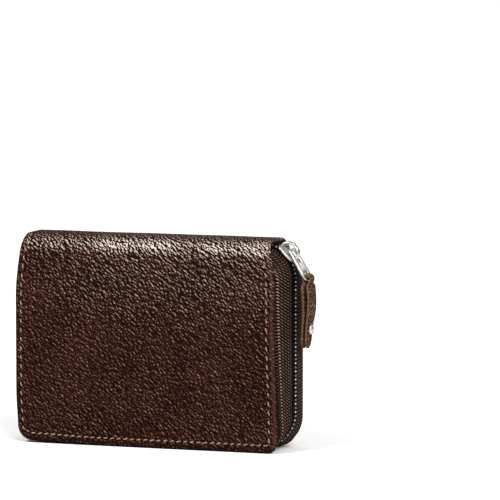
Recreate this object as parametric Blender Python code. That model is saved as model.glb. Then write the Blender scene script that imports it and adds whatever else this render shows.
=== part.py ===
"""A zip-around card holder of pebbled leather, closed and standing on its zip side.

X runs along the spine, the front cover faces -Y and the spine is on top. The front cover
swings open on the two folds of the spine and spreads an accordion of card pockets.
"""

import math

import bmesh
import bpy
from mathutils import Vector

# Card pockets, which set the width and height of the holder round them
LEAF_COUNT = 10
LEAF_WIDTH = 0.070
LEAF_HEIGHT = 0.060
LEAF_THICKNESS = 0.0007
LEAF_CLEARANCE = 0.00055
ROOT_RISE = 0.0012
ROOT_STRIP_THICKNESS = 0.0006
MOUTH_HEIGHT = 0.0109
GUSSET_DEPTH = 0.011
GUSSET_ROOM = 0.005
GUSSET_THICKNESS = 0.00025
GUSSET_SIDE_CLEARANCE = 0.000125

# Whole holder, closed
HOLDER_DEPTH = 0.024
LAYER_GAP = 0.0003
CUT_OVERRUN = 0.001

# Covers and spine
LEATHER_THICKNESS = 0.0012
COVER_CORNER_RADIUS = 0.004
COVER_EDGE_ROUNDING = 0.0005
SPINE_DROP = 0.008
SPINE_CORNER_RADIUS = 0.007
BOARD_THICKNESS = 0.0006
BOARD_EDGE_INSET = 0.0065
LINING_THICKNESS = 0.0006
LINING_EDGE_INSET = 0.002
SPINE_LINING_THICKNESS = 0.0005
SPINE_LINING_END_INSET = 0.006
SPINE_LINING_LEG = 0.0005

# Slip pocket inside each cover
SLIP_THICKNESS = 0.0007
SLIP_SIDE_INSET = 0.007
SLIP_MOUTH_INSET = 0.009
SLIP_TOP_INSET = 0.007

# Stitching round the three zip sides of each cover
STITCH_INSET = 0.003
STITCH_CORNER_RADIUS = 0.0008
THREAD_WIDTH = 0.0006
THREAD_HEIGHT = 0.0004
THREAD_RECESS = 0.0001

# Zip
CHAIN_BULGE = 0.0025
CHAIN_BOTTOM_INSET = 0.0018
CHAIN_CORNER_RADIUS = 0.012
CHAIN_HALF_WIDTH = 0.002
CHAIN_THICKNESS = 0.0016
CHAIN_HALVES_GAP = 0.0004
TOOTH_DEPTH = 0.0007
TOOTH_PITCH = 0.003
TAPE_THICKNESS = 0.0006
TAPE_SEAM_INSET = 0.005
TAPE_SEAM_CORNER_RADIUS = 0.0015
TAPE_TURN_INSET = 0.0012
TAPE_TURN_CORNER_RADIUS = 0.003
TAPE_FLAT_HALF_WIDTH = 0.0062
ZIP_END_ARC_DEG = 88.0
ZIP_END_CHAIN_DEG = 44.0
ZIP_END_HALF_WIDTH = 0.009
ZIP_END_TIP_HALF_WIDTH = 0.0055
SLOT_END_DEG = 64.0

# Slider, parked at the top right corner
SLIDER_REST_DEG = 45.0
SLIDER_LENGTH = 0.0076
SLIDER_WIDTH = 0.0072
SLIDER_PLATE_THICKNESS = 0.0006
SLIDER_HEAD_ROUNDING = 0.0012
SLIDER_RUNNING_GAP = 0.00025
POST_LENGTH = 0.0016
POST_WIDTH = 0.001
POST_OFFSET = 0.0024
BRIDGE_LENGTH = 0.0064
BRIDGE_HEIGHT = 0.0034
BRIDGE_WIDTH = 0.0024
BRIDGE_THICKNESS = 0.0008

# Pull: a metal link and a folded leather tab with a rivet
LINK_PIN_OFFSET = 0.0005
LINK_PIN_RISE = 0.0034
LINK_REACH = 0.0062
LINK_DROP = 0.0103
LINK_WIDTH = 0.0074
LINK_WIRE_RADIUS = 0.0006
LINK_CORNER_RADIUS = 0.0012
TAB_LENGTH = 0.027
TAB_WIDTH = 0.0086
TAB_NECK_WIDTH = 0.0034
TAB_SHOULDER_DROP = 0.0022
TAB_SHOULDER_LENGTH = 0.0028
TAB_END_RADIUS = 0.003
TAB_PLY_THICKNESS = 0.0011
TAB_PLY_GAP = 0.0004
RIVET_HEIGHT = 0.007
RIVET_HEAD_RADIUS = 0.0016
RIVET_HEAD_HEIGHT = 0.0005
RIVET_SHANK_RADIUS = 0.0006

# Worked out from the sizes above
HALF_WIDTH = LEAF_WIDTH / 2 + GUSSET_DEPTH + GUSSET_ROOM
HALF_DEPTH = HOLDER_DEPTH / 2
ROOT_HEIGHT = MOUTH_HEIGHT + LEAF_HEIGHT + LAYER_GAP
FOLD_HEIGHT = ROOT_HEIGHT - ROOT_RISE
HOLDER_HEIGHT = FOLD_HEIGHT + SPINE_DROP
BODY_TOP = FOLD_HEIGHT - LAYER_GAP / 2
BOARD_OUTER = HALF_DEPTH - LEATHER_THICKNESS - LAYER_GAP
BOARD_INNER = BOARD_OUTER - BOARD_THICKNESS
LINING_OUTER = BOARD_INNER - LAYER_GAP
LINING_INNER = LINING_OUTER - LINING_THICKNESS
SLIP_OUTER = LINING_INNER - LAYER_GAP
SLIP_INNER = SLIP_OUTER - SLIP_THICKNESS
END_LEAF_PLACE = SLIP_INNER - LEAF_CLEARANCE - LEAF_THICKNESS / 2
LEAF_PITCH = 2 * END_LEAF_PLACE / (LEAF_COUNT - 1)
TAPE_LAYER = (BOARD_OUTER + BOARD_INNER) / 2
SPINE_UNDERSIDE = HOLDER_HEIGHT - LEATHER_THICKNESS
SPINE_LINING_UNDERSIDE = SPINE_UNDERSIDE - LAYER_GAP - SPINE_LINING_THICKNESS
ARC_X = HALF_WIDTH + CHAIN_BULGE - CHAIN_CORNER_RADIUS
ARC_Z = SPINE_LINING_UNDERSIDE - LAYER_GAP - TAPE_THICKNESS / 2 - CHAIN_CORNER_RADIUS
ZIP_TOP = ARC_Z - LAYER_GAP / 2
SLIDER_SAG = CHAIN_CORNER_RADIUS - math.sqrt(CHAIN_CORNER_RADIUS**2 - SLIDER_LENGTH**2 / 4)
CHANNEL_TOP = CHAIN_THICKNESS / 2 + SLIDER_RUNNING_GAP
CHANNEL_FLOOR = CHANNEL_TOP + SLIDER_SAG
PLATE_TOP = CHANNEL_TOP + SLIDER_PLATE_THICKNESS
SLOT_HALF_WIDTH = POST_WIDTH / 2 + LAYER_GAP
TAB_THICKNESS = 2 * TAB_PLY_THICKNESS + TAB_PLY_GAP

# Counts and shares
CORNER_STEPS = 8
SMALL_CORNER_STEPS = 4
ARC_STEPS = 14
ROUND_STEPS = 16
TOOTH_SHARES = ((0.0, 0.0), (0.15, 1.0), (0.5, 1.0), (0.65, 0.0))
BULGE_SHARE = 0.55
SLIDER_AXIS_ANGLE = math.radians(SLIDER_REST_DEG)

# Colours are linear, red, green, blue
LEATHER_COLOUR = (0.050, 0.017, 0.011)
INNER_LEATHER_COLOUR = (0.120, 0.040, 0.026)
LINING_COLOUR = (0.016, 0.008, 0.005)
BOARD_COLOUR = (0.260, 0.200, 0.140)
THREAD_COLOUR = (0.560, 0.380, 0.250)
TAPE_COLOUR = (0.040, 0.024, 0.016)
CHAIN_COLOUR = (0.020, 0.016, 0.014)
TAB_COLOUR = (0.110, 0.055, 0.032)
NICKEL_COLOUR = (0.640, 0.620, 0.600)


def clear_scene():
    for old in list(bpy.data.objects):
        bpy.data.objects.remove(old)


def material(name, colour, roughness, metallic=0.0):
    """A Principled material, made once for each name."""
    found = bpy.data.materials.get(name)
    if found:
        return found
    made = bpy.data.materials.new(name)
    made.use_nodes = True
    shader = made.node_tree.nodes["Principled BSDF"]
    shader.inputs["Base Color"].default_value = (*colour, 1.0)
    shader.inputs["Roughness"].default_value = roughness
    shader.inputs["Metallic"].default_value = metallic
    made.diffuse_color = (*colour, 1.0)
    return made


def leather():
    return material("pebbled_leather", LEATHER_COLOUR, 0.5)


def inner_leather():
    return material("inner_leather", INNER_LEATHER_COLOUR, 0.55)


def lining_cloth():
    return material("dark_lining", LINING_COLOUR, 0.85)


def stiff_board():
    return material("stiff_board", BOARD_COLOUR, 0.9)


def thread():
    return material("stitch_thread", THREAD_COLOUR, 0.8)


def tape_cloth():
    return material("zip_tape", TAPE_COLOUR, 0.9)


def chain_plastic():
    return material("zip_chain", CHAIN_COLOUR, 0.45)


def tab_leather():
    return material("tab_leather", TAB_COLOUR, 0.6)


def nickel():
    return material("nickel", NICKEL_COLOUR, 0.22, 1.0)


def finished(name, mesh_builder, finish, body, smooth_angle=None):
    """Turns a bmesh into a named object with its material, carried by a body's empty."""
    bmesh.ops.recalc_face_normals(mesh_builder, faces=mesh_builder.faces)
    mesh = bpy.data.meshes.new(name)
    mesh_builder.to_mesh(mesh)
    mesh_builder.free()
    if smooth_angle:
        mesh.shade_smooth()
        mesh.set_sharp_from_angle(angle=smooth_angle)
    made = bpy.data.objects.new(name, mesh)
    bpy.context.collection.objects.link(made)
    made.data.materials.append(finish)
    carry(made, body)
    return made


def carry(made, body):
    """Parents an object to a body, keeping it where its points put it."""
    if body is None:
        return
    made.parent = body
    made.location = -Vector(body["joint_point"])


def prism(outline, low, high, axis):
    """A closed solid: an outline of two coordinates, carried from low to high along axis."""
    places = {
        "X": lambda u, v, w: (w, u, v),
        "Y": lambda u, v, w: (u, w, v),
        "Z": lambda u, v, w: (u, v, w),
    }[axis]
    return loft([[places(u, v, w) for u, v in outline] for w in (low, high)])


def loft(rings, closed=False):
    """A closed solid through rings of as many points each, with a cap at each end."""
    built = bmesh.new()
    rows = [[built.verts.new(point) for point in ring] for ring in rings]
    pairs = list(zip(rows, rows[1:]))
    if closed:
        pairs.append((rows[-1], rows[0]))
    for first, second in pairs:
        for here in range(len(first)):
            after = (here + 1) % len(first)
            built.faces.new((first[here], first[after], second[after], second[here]))
    if not closed:
        built.faces.new(rows[0])
        built.faces.new(rows[-1])
    return built


def boxed(low, high):
    """A box between two corners."""
    outline = [(low[0], low[1]), (high[0], low[1]), (high[0], high[1]), (low[0], high[1])]
    return prism(outline, low[2], high[2], "Z")


def cut(target, tool, operation="DIFFERENCE"):
    """Leaves a Boolean on the target and hides its tool."""
    tool.hide_render = True
    tool.display_type = "WIRE"
    modifier = target.modifiers.new(tool.name, "BOOLEAN")
    modifier.operation = operation
    modifier.solver = "EXACT"
    modifier.object = tool


def arc(centre, radius, start_deg, end_deg, steps):
    """Points on an arc, both ends included."""
    points = []
    for step in range(steps + 1):
        angle = math.radians(start_deg + (end_deg - start_deg) * step / steps)
        points.append((centre[0] + radius * math.cos(angle), centre[1] + radius * math.sin(angle)))
    return points


def u_path(half_width, low, high, radius, steps=CORNER_STEPS):
    """Down the right side, along the bottom and up the left side, in x and z."""
    right = arc((half_width - radius, low + radius), radius, 0, -90, steps)
    left = arc((radius - half_width, low + radius), radius, -90, -180, steps)
    return [(half_width, high), *right, *left, (-half_width, high)]


def cover_outline(inset, low, high, radius):
    return u_path(HALF_WIDTH - inset, low, high, radius, SMALL_CORNER_STEPS)


def path_normals(path):
    """Outward unit normals of a path in x and z that runs clockwise, averaged at its points."""
    normals = []
    for here in range(len(path)):
        before = path[max(here - 1, 0)]
        after = path[min(here + 1, len(path) - 1)]
        along = Vector((after[0] - before[0], after[1] - before[1])).normalized()
        normals.append(Vector((-along[1], along[0])))
    return normals


def resampled(path, stops):
    """Points and outward normals at the given distances along a path."""
    found = []
    start = 0.0
    left = list(stops)
    for first, second in zip(path, path[1:]):
        step = Vector((second[0] - first[0], second[1] - first[1]))
        normal = Vector((-step[1], step[0])).normalized()
        while left and left[0] <= start + step.length:
            share = (left.pop(0) - start) / step.length
            found.append((Vector(first) + step * share, normal))
        start += step.length
    return found


def path_length(path):
    return sum(math.dist(first, second) for first, second in zip(path, path[1:]))


def joint_body(name, parent, point):
    """An empty on a joint's axis, which carries the pieces that move with it."""
    made = bpy.data.objects.new(name, None)
    bpy.context.collection.objects.link(made)
    made["joint_point"] = point
    made.parent = parent
    made.location = Vector(point)
    if parent:
        made.location -= Vector(parent["joint_point"])
    return made


def slider_place(along, rise):
    """A point in x and z from its distances along the parked slider and out from the chain."""
    outward = Vector((math.cos(SLIDER_AXIS_ANGLE), math.sin(SLIDER_AXIS_ANGLE)))
    forward = Vector((-outward[1], outward[0]))
    centre = Vector((ARC_X, ARC_Z)) + outward * CHAIN_CORNER_RADIUS
    return centre + forward * along + outward * rise


def leaf_place(number):
    """The y of a leaf's middle, counted from the back cover."""
    return END_LEAF_PLACE - LEAF_PITCH * number


def link_pin():
    return slider_place(-LINK_PIN_OFFSET, LINK_PIN_RISE)


def link_bar():
    return link_pin() + Vector((LINK_REACH, -LINK_DROP))


def centre_x():
    """Middle of the whole part along x, which the hanging pull tab moves off the covers' middle."""
    right = link_bar()[0] + TAB_THICKNESS / 2 + tab_loop_swell()
    left = -(HALF_WIDTH + CHAIN_BULGE + CHAIN_THICKNESS / 2)
    return (right + left) / 2


def build_bodies():
    """The tree of joint empties. Its root moves the part's middle to the origin."""
    root = joint_body("back_cover_root", None, (0, 0, 0))
    spine = joint_body("spine_axis", root, (0, HALF_DEPTH, FOLD_HEIGHT))
    front = joint_body("front_cover_axis", spine, (0, -HALF_DEPTH, FOLD_HEIGHT))
    slider = joint_body("slider_axis", spine, (ARC_X, 0, ARC_Z))
    pin = link_pin()
    link = joint_body("pull_link_axis", slider, (pin[0], 0, pin[1]))
    bar = link_bar()
    tab = joint_body("pull_tab_axis", link, (bar[0], 0, bar[1]))
    bodies = {"root": root, "spine": spine, "front": front}
    bodies.update({"slider": slider, "link": link, "tab": tab})
    carrier = root
    for number in range(1, LEAF_COUNT):
        hinge_y = leaf_place(number) + LEAF_PITCH / 2
        carrier = joint_body(f"leaf_{number}_axis", carrier, (0, hinge_y, ROOT_HEIGHT))
        bodies[f"leaf_{number}"] = carrier
    root.location.x = -centre_x()
    return bodies


def cover_plate(name, inset, low, high, radius, inner, outer, side, finish, body):
    """A flat layer of a cover, between two distances from the holder's middle plane."""
    outline = cover_outline(inset, low, high, radius)
    faces = sorted((side * inner, side * outer))
    return finished(name, prism(outline, faces[0], faces[1], "Y"), finish, body)


def stitch_loft(width, near, far, side):
    """A flat band along the stitch line, between two distances from the middle plane."""
    path = u_path(
        HALF_WIDTH - STITCH_INSET,
        STITCH_INSET,
        BODY_TOP - LAYER_GAP,
        STITCH_CORNER_RADIUS,
        SMALL_CORNER_STEPS,
    )
    rings = []
    for point, normal in zip(path, path_normals(path)):
        ring = []
        for across, place in ((-1, near), (1, near), (1, far), (-1, far)):
            spot = Vector(point) + normal * across * width / 2
            ring.append((spot[0], side * place, spot[1]))
        rings.append(ring)
    return loft(rings)


def build_cover_leather(label, side, body):
    """Outer leather, its outer edge rounded, with a groove that the stitches sink into."""
    outline = cover_outline(0, 0, BODY_TOP, COVER_CORNER_RADIUS)
    faces = sorted((side * (HALF_DEPTH - LEATHER_THICKNESS), side * HALF_DEPTH))
    built = prism(outline, faces[0], faces[1], "Y")
    round_edges = []
    for edge in built.edges:
        ends = [vertex.co for vertex in edge.verts]
        on_face = all(abs(end.y - side * HALF_DEPTH) < LAYER_GAP / 2 for end in ends)
        on_top = all(end.z > BODY_TOP - LAYER_GAP for end in ends)
        if on_face and not on_top:
            round_edges.append(edge)
    bmesh.ops.bevel(
        built,
        geom=round_edges,
        offset=COVER_EDGE_ROUNDING,
        segments=2,
        profile=0.5,
        affect="EDGES",
    )
    plate = finished(f"{label}_cover_leather", built, leather(), body)
    groove_width = THREAD_WIDTH + 2 * LAYER_GAP
    groove_floor = HALF_DEPTH - THREAD_RECESS - THREAD_HEIGHT - LAYER_GAP
    groove = stitch_loft(groove_width, groove_floor, HALF_DEPTH + CUT_OVERRUN, side)
    cut(plate, finished(f"{label}_stitch_groove", groove, leather(), body))


def build_cover_stitching(label, side, body):
    near = HALF_DEPTH - THREAD_RECESS - THREAD_HEIGHT
    band = stitch_loft(THREAD_WIDTH, near, HALF_DEPTH - THREAD_RECESS, side)
    finished(f"{label}_cover_stitching", band, thread(), body)


def build_cover_inside(label, side, body):
    """Stiff board, lining and the slip pocket's panel."""
    cover_plate(
        f"{label}_cover_board", BOARD_EDGE_INSET, BOARD_EDGE_INSET, BODY_TOP - LAYER_GAP,
        COVER_CORNER_RADIUS, BOARD_INNER, BOARD_OUTER, side, stiff_board(), body,
    )
    cover_plate(
        f"{label}_cover_lining", LINING_EDGE_INSET, LINING_EDGE_INSET, BODY_TOP - LAYER_GAP,
        COVER_CORNER_RADIUS, LINING_INNER, LINING_OUTER, side, lining_cloth(), body,
    )
    cover_plate(
        f"{label}_slip_pocket", SLIP_SIDE_INSET, SLIP_MOUTH_INSET, FOLD_HEIGHT - SLIP_TOP_INSET,
        COVER_CORNER_RADIUS, SLIP_INNER, SLIP_OUTER, side, inner_leather(), body,
    )


def tape_profile():
    """The tape's middle line: out from the edge at the sides, up from the floor, corner radius, y."""
    tape_end = CHAIN_HALF_WIDTH + LAYER_GAP
    turn_side = -TAPE_TURN_INSET
    bulge_side = turn_side + (CHAIN_BULGE + TAPE_TURN_INSET) * BULGE_SHARE
    bulge_low = (TAPE_TURN_INSET + CHAIN_BOTTOM_INSET) / 2
    bulge_radius = (TAPE_TURN_CORNER_RADIUS + CHAIN_CORNER_RADIUS) / 2
    bulge_place = (TAPE_LAYER + TAPE_FLAT_HALF_WIDTH) / 2
    return (
        (-TAPE_SEAM_INSET, TAPE_SEAM_INSET, TAPE_SEAM_CORNER_RADIUS, TAPE_LAYER),
        (turn_side, TAPE_TURN_INSET, TAPE_TURN_CORNER_RADIUS, TAPE_LAYER),
        (bulge_side, bulge_low, bulge_radius, bulge_place),
        (CHAIN_BULGE, CHAIN_BOTTOM_INSET, CHAIN_CORNER_RADIUS, TAPE_FLAT_HALF_WIDTH),
        (CHAIN_BULGE, CHAIN_BOTTOM_INSET, CHAIN_CORNER_RADIUS, tape_end),
    )


def profile_offsets(profile):
    """Unit directions across the tape at each point of its profile, outward first, then y."""
    offsets = []
    for here in range(len(profile)):
        before = profile[max(here - 1, 0)]
        after = profile[min(here + 1, len(profile) - 1)]
        along = Vector((after[0] - before[0], after[3] - before[3])).normalized()
        offsets.append(Vector((-along[1], along[0])))
    return offsets


def build_tape(label, side, body):
    """Half of the zip's tape, from its seam under the cover's leather to the chain."""
    profile = tape_profile()
    paths = []
    for face in (1, -1):
        for (out, low, radius, place), across in zip(profile, profile_offsets(profile)):
            shift = across * face * TAPE_THICKNESS / 2
            path = u_path(HALF_WIDTH + out + shift[0], low - shift[0], ZIP_TOP, radius)
            paths.append([(x, side * (place + shift[1]), z) for x, z in path])
    around = paths[: len(profile)] + paths[: len(profile) - 1 : -1]
    rings = [list(ring) for ring in zip(*around)]
    finished(f"{label}_zip_tape", loft(rings), tape_cloth(), body)


def build_chain(label, side, phase_share, body):
    """Half of the zip's chain: a cord with teeth along its inner edge."""
    path = u_path(
        HALF_WIDTH + CHAIN_BULGE, CHAIN_BOTTOM_INSET, ZIP_TOP, CHAIN_CORNER_RADIUS
    )
    length = path_length(path)
    root = CHAIN_HALVES_GAP / 2 + TOOTH_DEPTH
    stops = [(0.0, root)]
    for tooth in range(int(length / TOOTH_PITCH) - 1):
        for share, height_share in TOOTH_SHARES:
            distance = (tooth + phase_share + share) * TOOTH_PITCH
            stops.append((distance, root - TOOTH_DEPTH * height_share))
    stops.append((length, root))
    places = resampled(path, [distance for distance, _ in stops[:-1]])
    places.append((Vector(path[-1]), path_normals(path)[-1]))
    rings = []
    for (point, normal), (_, inner) in zip(places, stops):
        ring = []
        for rise, place in ((1, CHAIN_HALF_WIDTH), (1, inner), (-1, inner), (-1, CHAIN_HALF_WIDTH)):
            spot = point + normal * rise * CHAIN_THICKNESS / 2
            ring.append((spot[0], side * place, spot[1]))
        rings.append(ring)
    finished(f"{label}_zip_chain", loft(rings), chain_plastic(), body)


def arc_band(start_half_width, end_half_width, thickness, start_gap, end_deg, hand):
    """A band that follows the zip's corner arc up from the covers' zip, narrowing as it goes."""
    start_deg = math.degrees(start_gap / CHAIN_CORNER_RADIUS)
    inner = arc((ARC_X, ARC_Z), CHAIN_CORNER_RADIUS - thickness / 2, start_deg, end_deg, ARC_STEPS)
    outer = arc((ARC_X, ARC_Z), CHAIN_CORNER_RADIUS + thickness / 2, start_deg, end_deg, ARC_STEPS)
    rings = []
    for step, (near, far) in enumerate(zip(inner, outer)):
        share = step / ARC_STEPS
        reach = start_half_width + (end_half_width - start_half_width) * share
        ring = []
        for point, place in ((near, -reach), (far, -reach), (far, reach), (near, reach)):
            ring.append((hand * point[0], place, point[1]))
        rings.append(ring)
    return loft(rings)


def build_zip_end(label, hand, body):
    """The zip's end, which goes in under the spine, with the slot that the slider's post runs in."""
    tape = arc_band(
        ZIP_END_HALF_WIDTH, ZIP_END_TIP_HALF_WIDTH, TAPE_THICKNESS, LAYER_GAP / 2,
        ZIP_END_ARC_DEG, hand,
    )
    strip = finished(f"zip_end_{label}", tape, tape_cloth(), body)
    chain = arc_band(
        CHAIN_HALF_WIDTH, CHAIN_HALF_WIDTH, CHAIN_THICKNESS, LAYER_GAP, ZIP_END_CHAIN_DEG, hand
    )
    cut(strip, finished(f"zip_end_{label}_chain_band", chain, chain_plastic(), body), "UNION")
    reach = CHAIN_CORNER_RADIUS + CHAIN_THICKNESS
    tip = arc((ARC_X, ARC_Z), reach, -ZIP_END_CHAIN_DEG, SLOT_END_DEG, ARC_STEPS)
    sector = [(hand * x, z) for x, z in [(ARC_X, ARC_Z), *tip]]
    slot = prism(sector, -SLOT_HALF_WIDTH, SLOT_HALF_WIDTH, "Y")
    cut(strip, finished(f"zip_end_{label}_slot", slot, tape_cloth(), body))


def spine_outline(outer, top, corner_radius, thickness, leg_bottom):
    """An upside-down U in y and z."""
    def shell(reach, height, radius):
        right = arc((reach - radius, height - radius), radius, 0, 90, CORNER_STEPS)
        left = arc((radius - reach, height - radius), radius, 90, 180, CORNER_STEPS)
        return [(reach, leg_bottom), *right, *left, (-reach, leg_bottom)]

    inside = shell(outer - thickness, top - thickness, corner_radius - thickness)
    return shell(outer, top, corner_radius) + inside[::-1]


def build_spine(body):
    """Leather over the spine, and its lining."""
    leg_bottom = FOLD_HEIGHT + LAYER_GAP / 2
    skin = spine_outline(
        HALF_DEPTH, HOLDER_HEIGHT, SPINE_CORNER_RADIUS, LEATHER_THICKNESS, leg_bottom
    )
    finished("spine_leather", prism(skin, -HALF_WIDTH, HALF_WIDTH, "X"), leather(), body)
    outer = HALF_DEPTH - LEATHER_THICKNESS - LAYER_GAP
    top = SPINE_UNDERSIDE - LAYER_GAP
    radius = SPINE_CORNER_RADIUS - LEATHER_THICKNESS - LAYER_GAP
    bottom = top - radius - SPINE_LINING_LEG
    inner = spine_outline(outer, top, radius, SPINE_LINING_THICKNESS, bottom)
    reach = HALF_WIDTH - SPINE_LINING_END_INSET
    finished("spine_lining", prism(inner, -reach, reach, "X"), lining_cloth(), body)


def build_leaf(number, body):
    """A stiff divider between two card pockets."""
    name = "back_pocket_leaf" if number == 0 else f"divider_{number}"
    if number == LEAF_COUNT - 1:
        name = "front_pocket_leaf"
    middle = leaf_place(number)
    low = (-LEAF_WIDTH / 2, middle - LEAF_THICKNESS / 2, MOUTH_HEIGHT)
    high = (LEAF_WIDTH / 2, middle + LEAF_THICKNESS / 2, ROOT_HEIGHT - LAYER_GAP)
    finished(name, boxed(low, high), lining_cloth(), body)


def gusset_fold(back, front, hand):
    """The outline in x and y of one side's outward fold between two leaves."""
    start = hand * (LEAF_WIDTH / 2 + LAYER_GAP)
    tip = start + hand * GUSSET_DEPTH
    notch = tip - hand * 2 * GUSSET_THICKNESS
    middle = (back + front) / 2
    return [
        (start, back),
        (tip, middle + GUSSET_THICKNESS),
        (tip, middle - GUSSET_THICKNESS),
        (start, front),
        (start, front + GUSSET_THICKNESS),
        (notch, middle),
        (start, back - GUSSET_THICKNESS),
    ]


def build_gusset(number, body):
    """The pocket's folded sides and its bottom strip, in one piece of thin leather."""
    back = leaf_place(number - 1) - GUSSET_SIDE_CLEARANCE
    front = leaf_place(number) + GUSSET_SIDE_CLEARANCE
    reach = LEAF_WIDTH / 2 + LAYER_GAP + GUSSET_DEPTH / 2
    low = (-reach, front, ROOT_HEIGHT)
    high = (reach, back, ROOT_HEIGHT + ROOT_STRIP_THICKNESS)
    name = f"pocket_{number}_gusset"
    strip = finished(name, boxed(low, high), lining_cloth(), body)
    for hand, label in ((1, "right"), (-1, "left")):
        top = ROOT_HEIGHT + ROOT_STRIP_THICKNESS / 2
        fold = prism(gusset_fold(back, front, hand), MOUTH_HEIGHT, top, "Z")
        side = finished(f"pocket_{number}_{label}_fold", fold, lining_cloth(), body)
        cut(strip, side, "UNION")


def build_accordion(bodies):
    for number in range(LEAF_COUNT):
        body = bodies["root"] if number == 0 else bodies[f"leaf_{number}"]
        build_leaf(number, body)
        if number < LEAF_COUNT - 1:
            build_gusset(number + 1, body)


def slider_block(along, width, rise, rounding=0.0):
    """A block on the parked slider, from its ranges along the slider and out from the chain."""
    outline = []
    for share_along, share_rise in ((0, 0), (1, 0), (1, 1), (0, 1)):
        place_along = along[share_along]
        place_rise = rise[share_rise]
        outline.append(slider_place(place_along, place_rise))
    built = prism(outline, -width / 2, width / 2, "Y")
    if rounding:
        upright = []
        outward = Vector((math.cos(SLIDER_AXIS_ANGLE), 0, math.sin(SLIDER_AXIS_ANGLE)))
        for edge in built.edges:
            run = (edge.verts[1].co - edge.verts[0].co).normalized()
            if abs(run.dot(outward)) > math.cos(SLIDER_AXIS_ANGLE):
                upright.append(edge)
        bmesh.ops.bevel(
            built, geom=upright, offset=rounding, segments=3, profile=0.5, affect="EDGES"
        )
    return built


def build_slider(body):
    """Two plates joined by a post, and the bridge that the pull hangs from."""
    half = SLIDER_LENGTH / 2
    top = slider_block(
        (-half, half), SLIDER_WIDTH, (CHANNEL_TOP, PLATE_TOP), SLIDER_HEAD_ROUNDING
    )
    body_piece = finished("slider_body", top, nickel(), body)
    floor_range = (-CHANNEL_FLOOR - SLIDER_PLATE_THICKNESS, -CHANNEL_FLOOR)
    floor = slider_block((-half, half), SLIDER_WIDTH, floor_range, SLIDER_HEAD_ROUNDING)
    cut(body_piece, finished("slider_floor_plate", floor, nickel(), body), "UNION")
    post_along = (POST_OFFSET - POST_LENGTH / 2, POST_OFFSET + POST_LENGTH / 2)
    post_rise = (
        -CHANNEL_FLOOR - SLIDER_PLATE_THICKNESS / 2,
        CHANNEL_TOP + SLIDER_PLATE_THICKNESS / 2,
    )
    post = slider_block(post_along, POST_WIDTH, post_rise)
    cut(body_piece, finished("slider_post", post, nickel(), body), "UNION")
    build_bridge(body)


def build_bridge(body):
    foot = PLATE_TOP + LAYER_GAP
    outline = []
    spans = (
        (BRIDGE_LENGTH / 2, BRIDGE_HEIGHT, 1),
        (BRIDGE_LENGTH / 2 - BRIDGE_THICKNESS, BRIDGE_HEIGHT - BRIDGE_THICKNESS, -1),
    )
    for reach, height, turn in spans:
        row = []
        for step in range(ROUND_STEPS + 1):
            angle = math.pi * step / ROUND_STEPS
            row.append(slider_place(reach * math.cos(angle), foot + height * math.sin(angle)))
        outline.extend(row[::turn])
    arch = prism(outline, -BRIDGE_WIDTH / 2, BRIDGE_WIDTH / 2, "Y")
    finished("slider_bridge", arch, nickel(), body, math.radians(SLIDER_REST_DEG))


def build_link(body):
    """A closed wire ring from the bridge down to the tab."""
    top = Vector(link_pin())
    down = link_bar() - top
    length = down.length
    down.normalize()
    half = LINK_WIDTH / 2 - LINK_WIRE_RADIUS
    radius = LINK_CORNER_RADIUS
    corners = (
        (half - radius, radius, -90, 0),
        (half - radius, length - radius, 0, 90),
        (radius - half, length - radius, 90, 180),
        (radius - half, radius, 180, 270),
    )
    points = []
    for across, along, start_deg, end_deg in corners:
        points.extend(arc((across, along), radius, start_deg, end_deg, SMALL_CORNER_STEPS))
    curve = bpy.data.curves.new("pull_link", "CURVE")
    curve.dimensions = "3D"
    curve.bevel_depth = LINK_WIRE_RADIUS
    curve.bevel_resolution = 2
    spline = curve.splines.new("POLY")
    spline.points.add(len(points) - 1)
    for target, (across, along) in zip(spline.points, points):
        spot = top + down * along
        target.co = (spot[0], across, spot[1], 1.0)
    spline.use_cyclic_u = True
    ring = bpy.data.objects.new("pull_link", curve)
    bpy.context.collection.objects.link(ring)
    curve.materials.append(nickel())
    carry(ring, body)


def tab_loop_radius():
    """Radius of the tab's middle line where it goes round the link's bar."""
    return LINK_WIRE_RADIUS + LAYER_GAP + TAB_PLY_THICKNESS / 2


def tab_loop_swell():
    """How far the loop round the bar stands out past the tab's plies."""
    return tab_loop_radius() - (TAB_THICKNESS - TAB_PLY_THICKNESS) / 2


def tab_outline():
    """The folded strip in x and z: up one ply, round the bar and down the other."""
    bar = link_bar()
    ply = (TAB_THICKNESS - TAB_PLY_THICKNESS) / 2
    loop = tab_loop_radius()
    neck = math.degrees(math.asin(ply / loop))
    end = bar[1] + loop - TAB_LENGTH
    turn = arc(bar, loop, neck - 90, 270 - neck, ROUND_STEPS)
    middle = [(bar[0] + ply, end), *turn, (bar[0] - ply, end)]
    normals = path_normals(middle)
    normals[0] = normals[-1] * -1
    rows = []
    for face in (1, -1):
        row = []
        for point, normal in zip(middle, normals):
            spot = Vector(point) + normal * face * TAB_PLY_THICKNESS / 2
            row.append((spot[0], spot[1]))
        rows.append(row)
    return rows[0] + rows[1][::-1]


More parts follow.
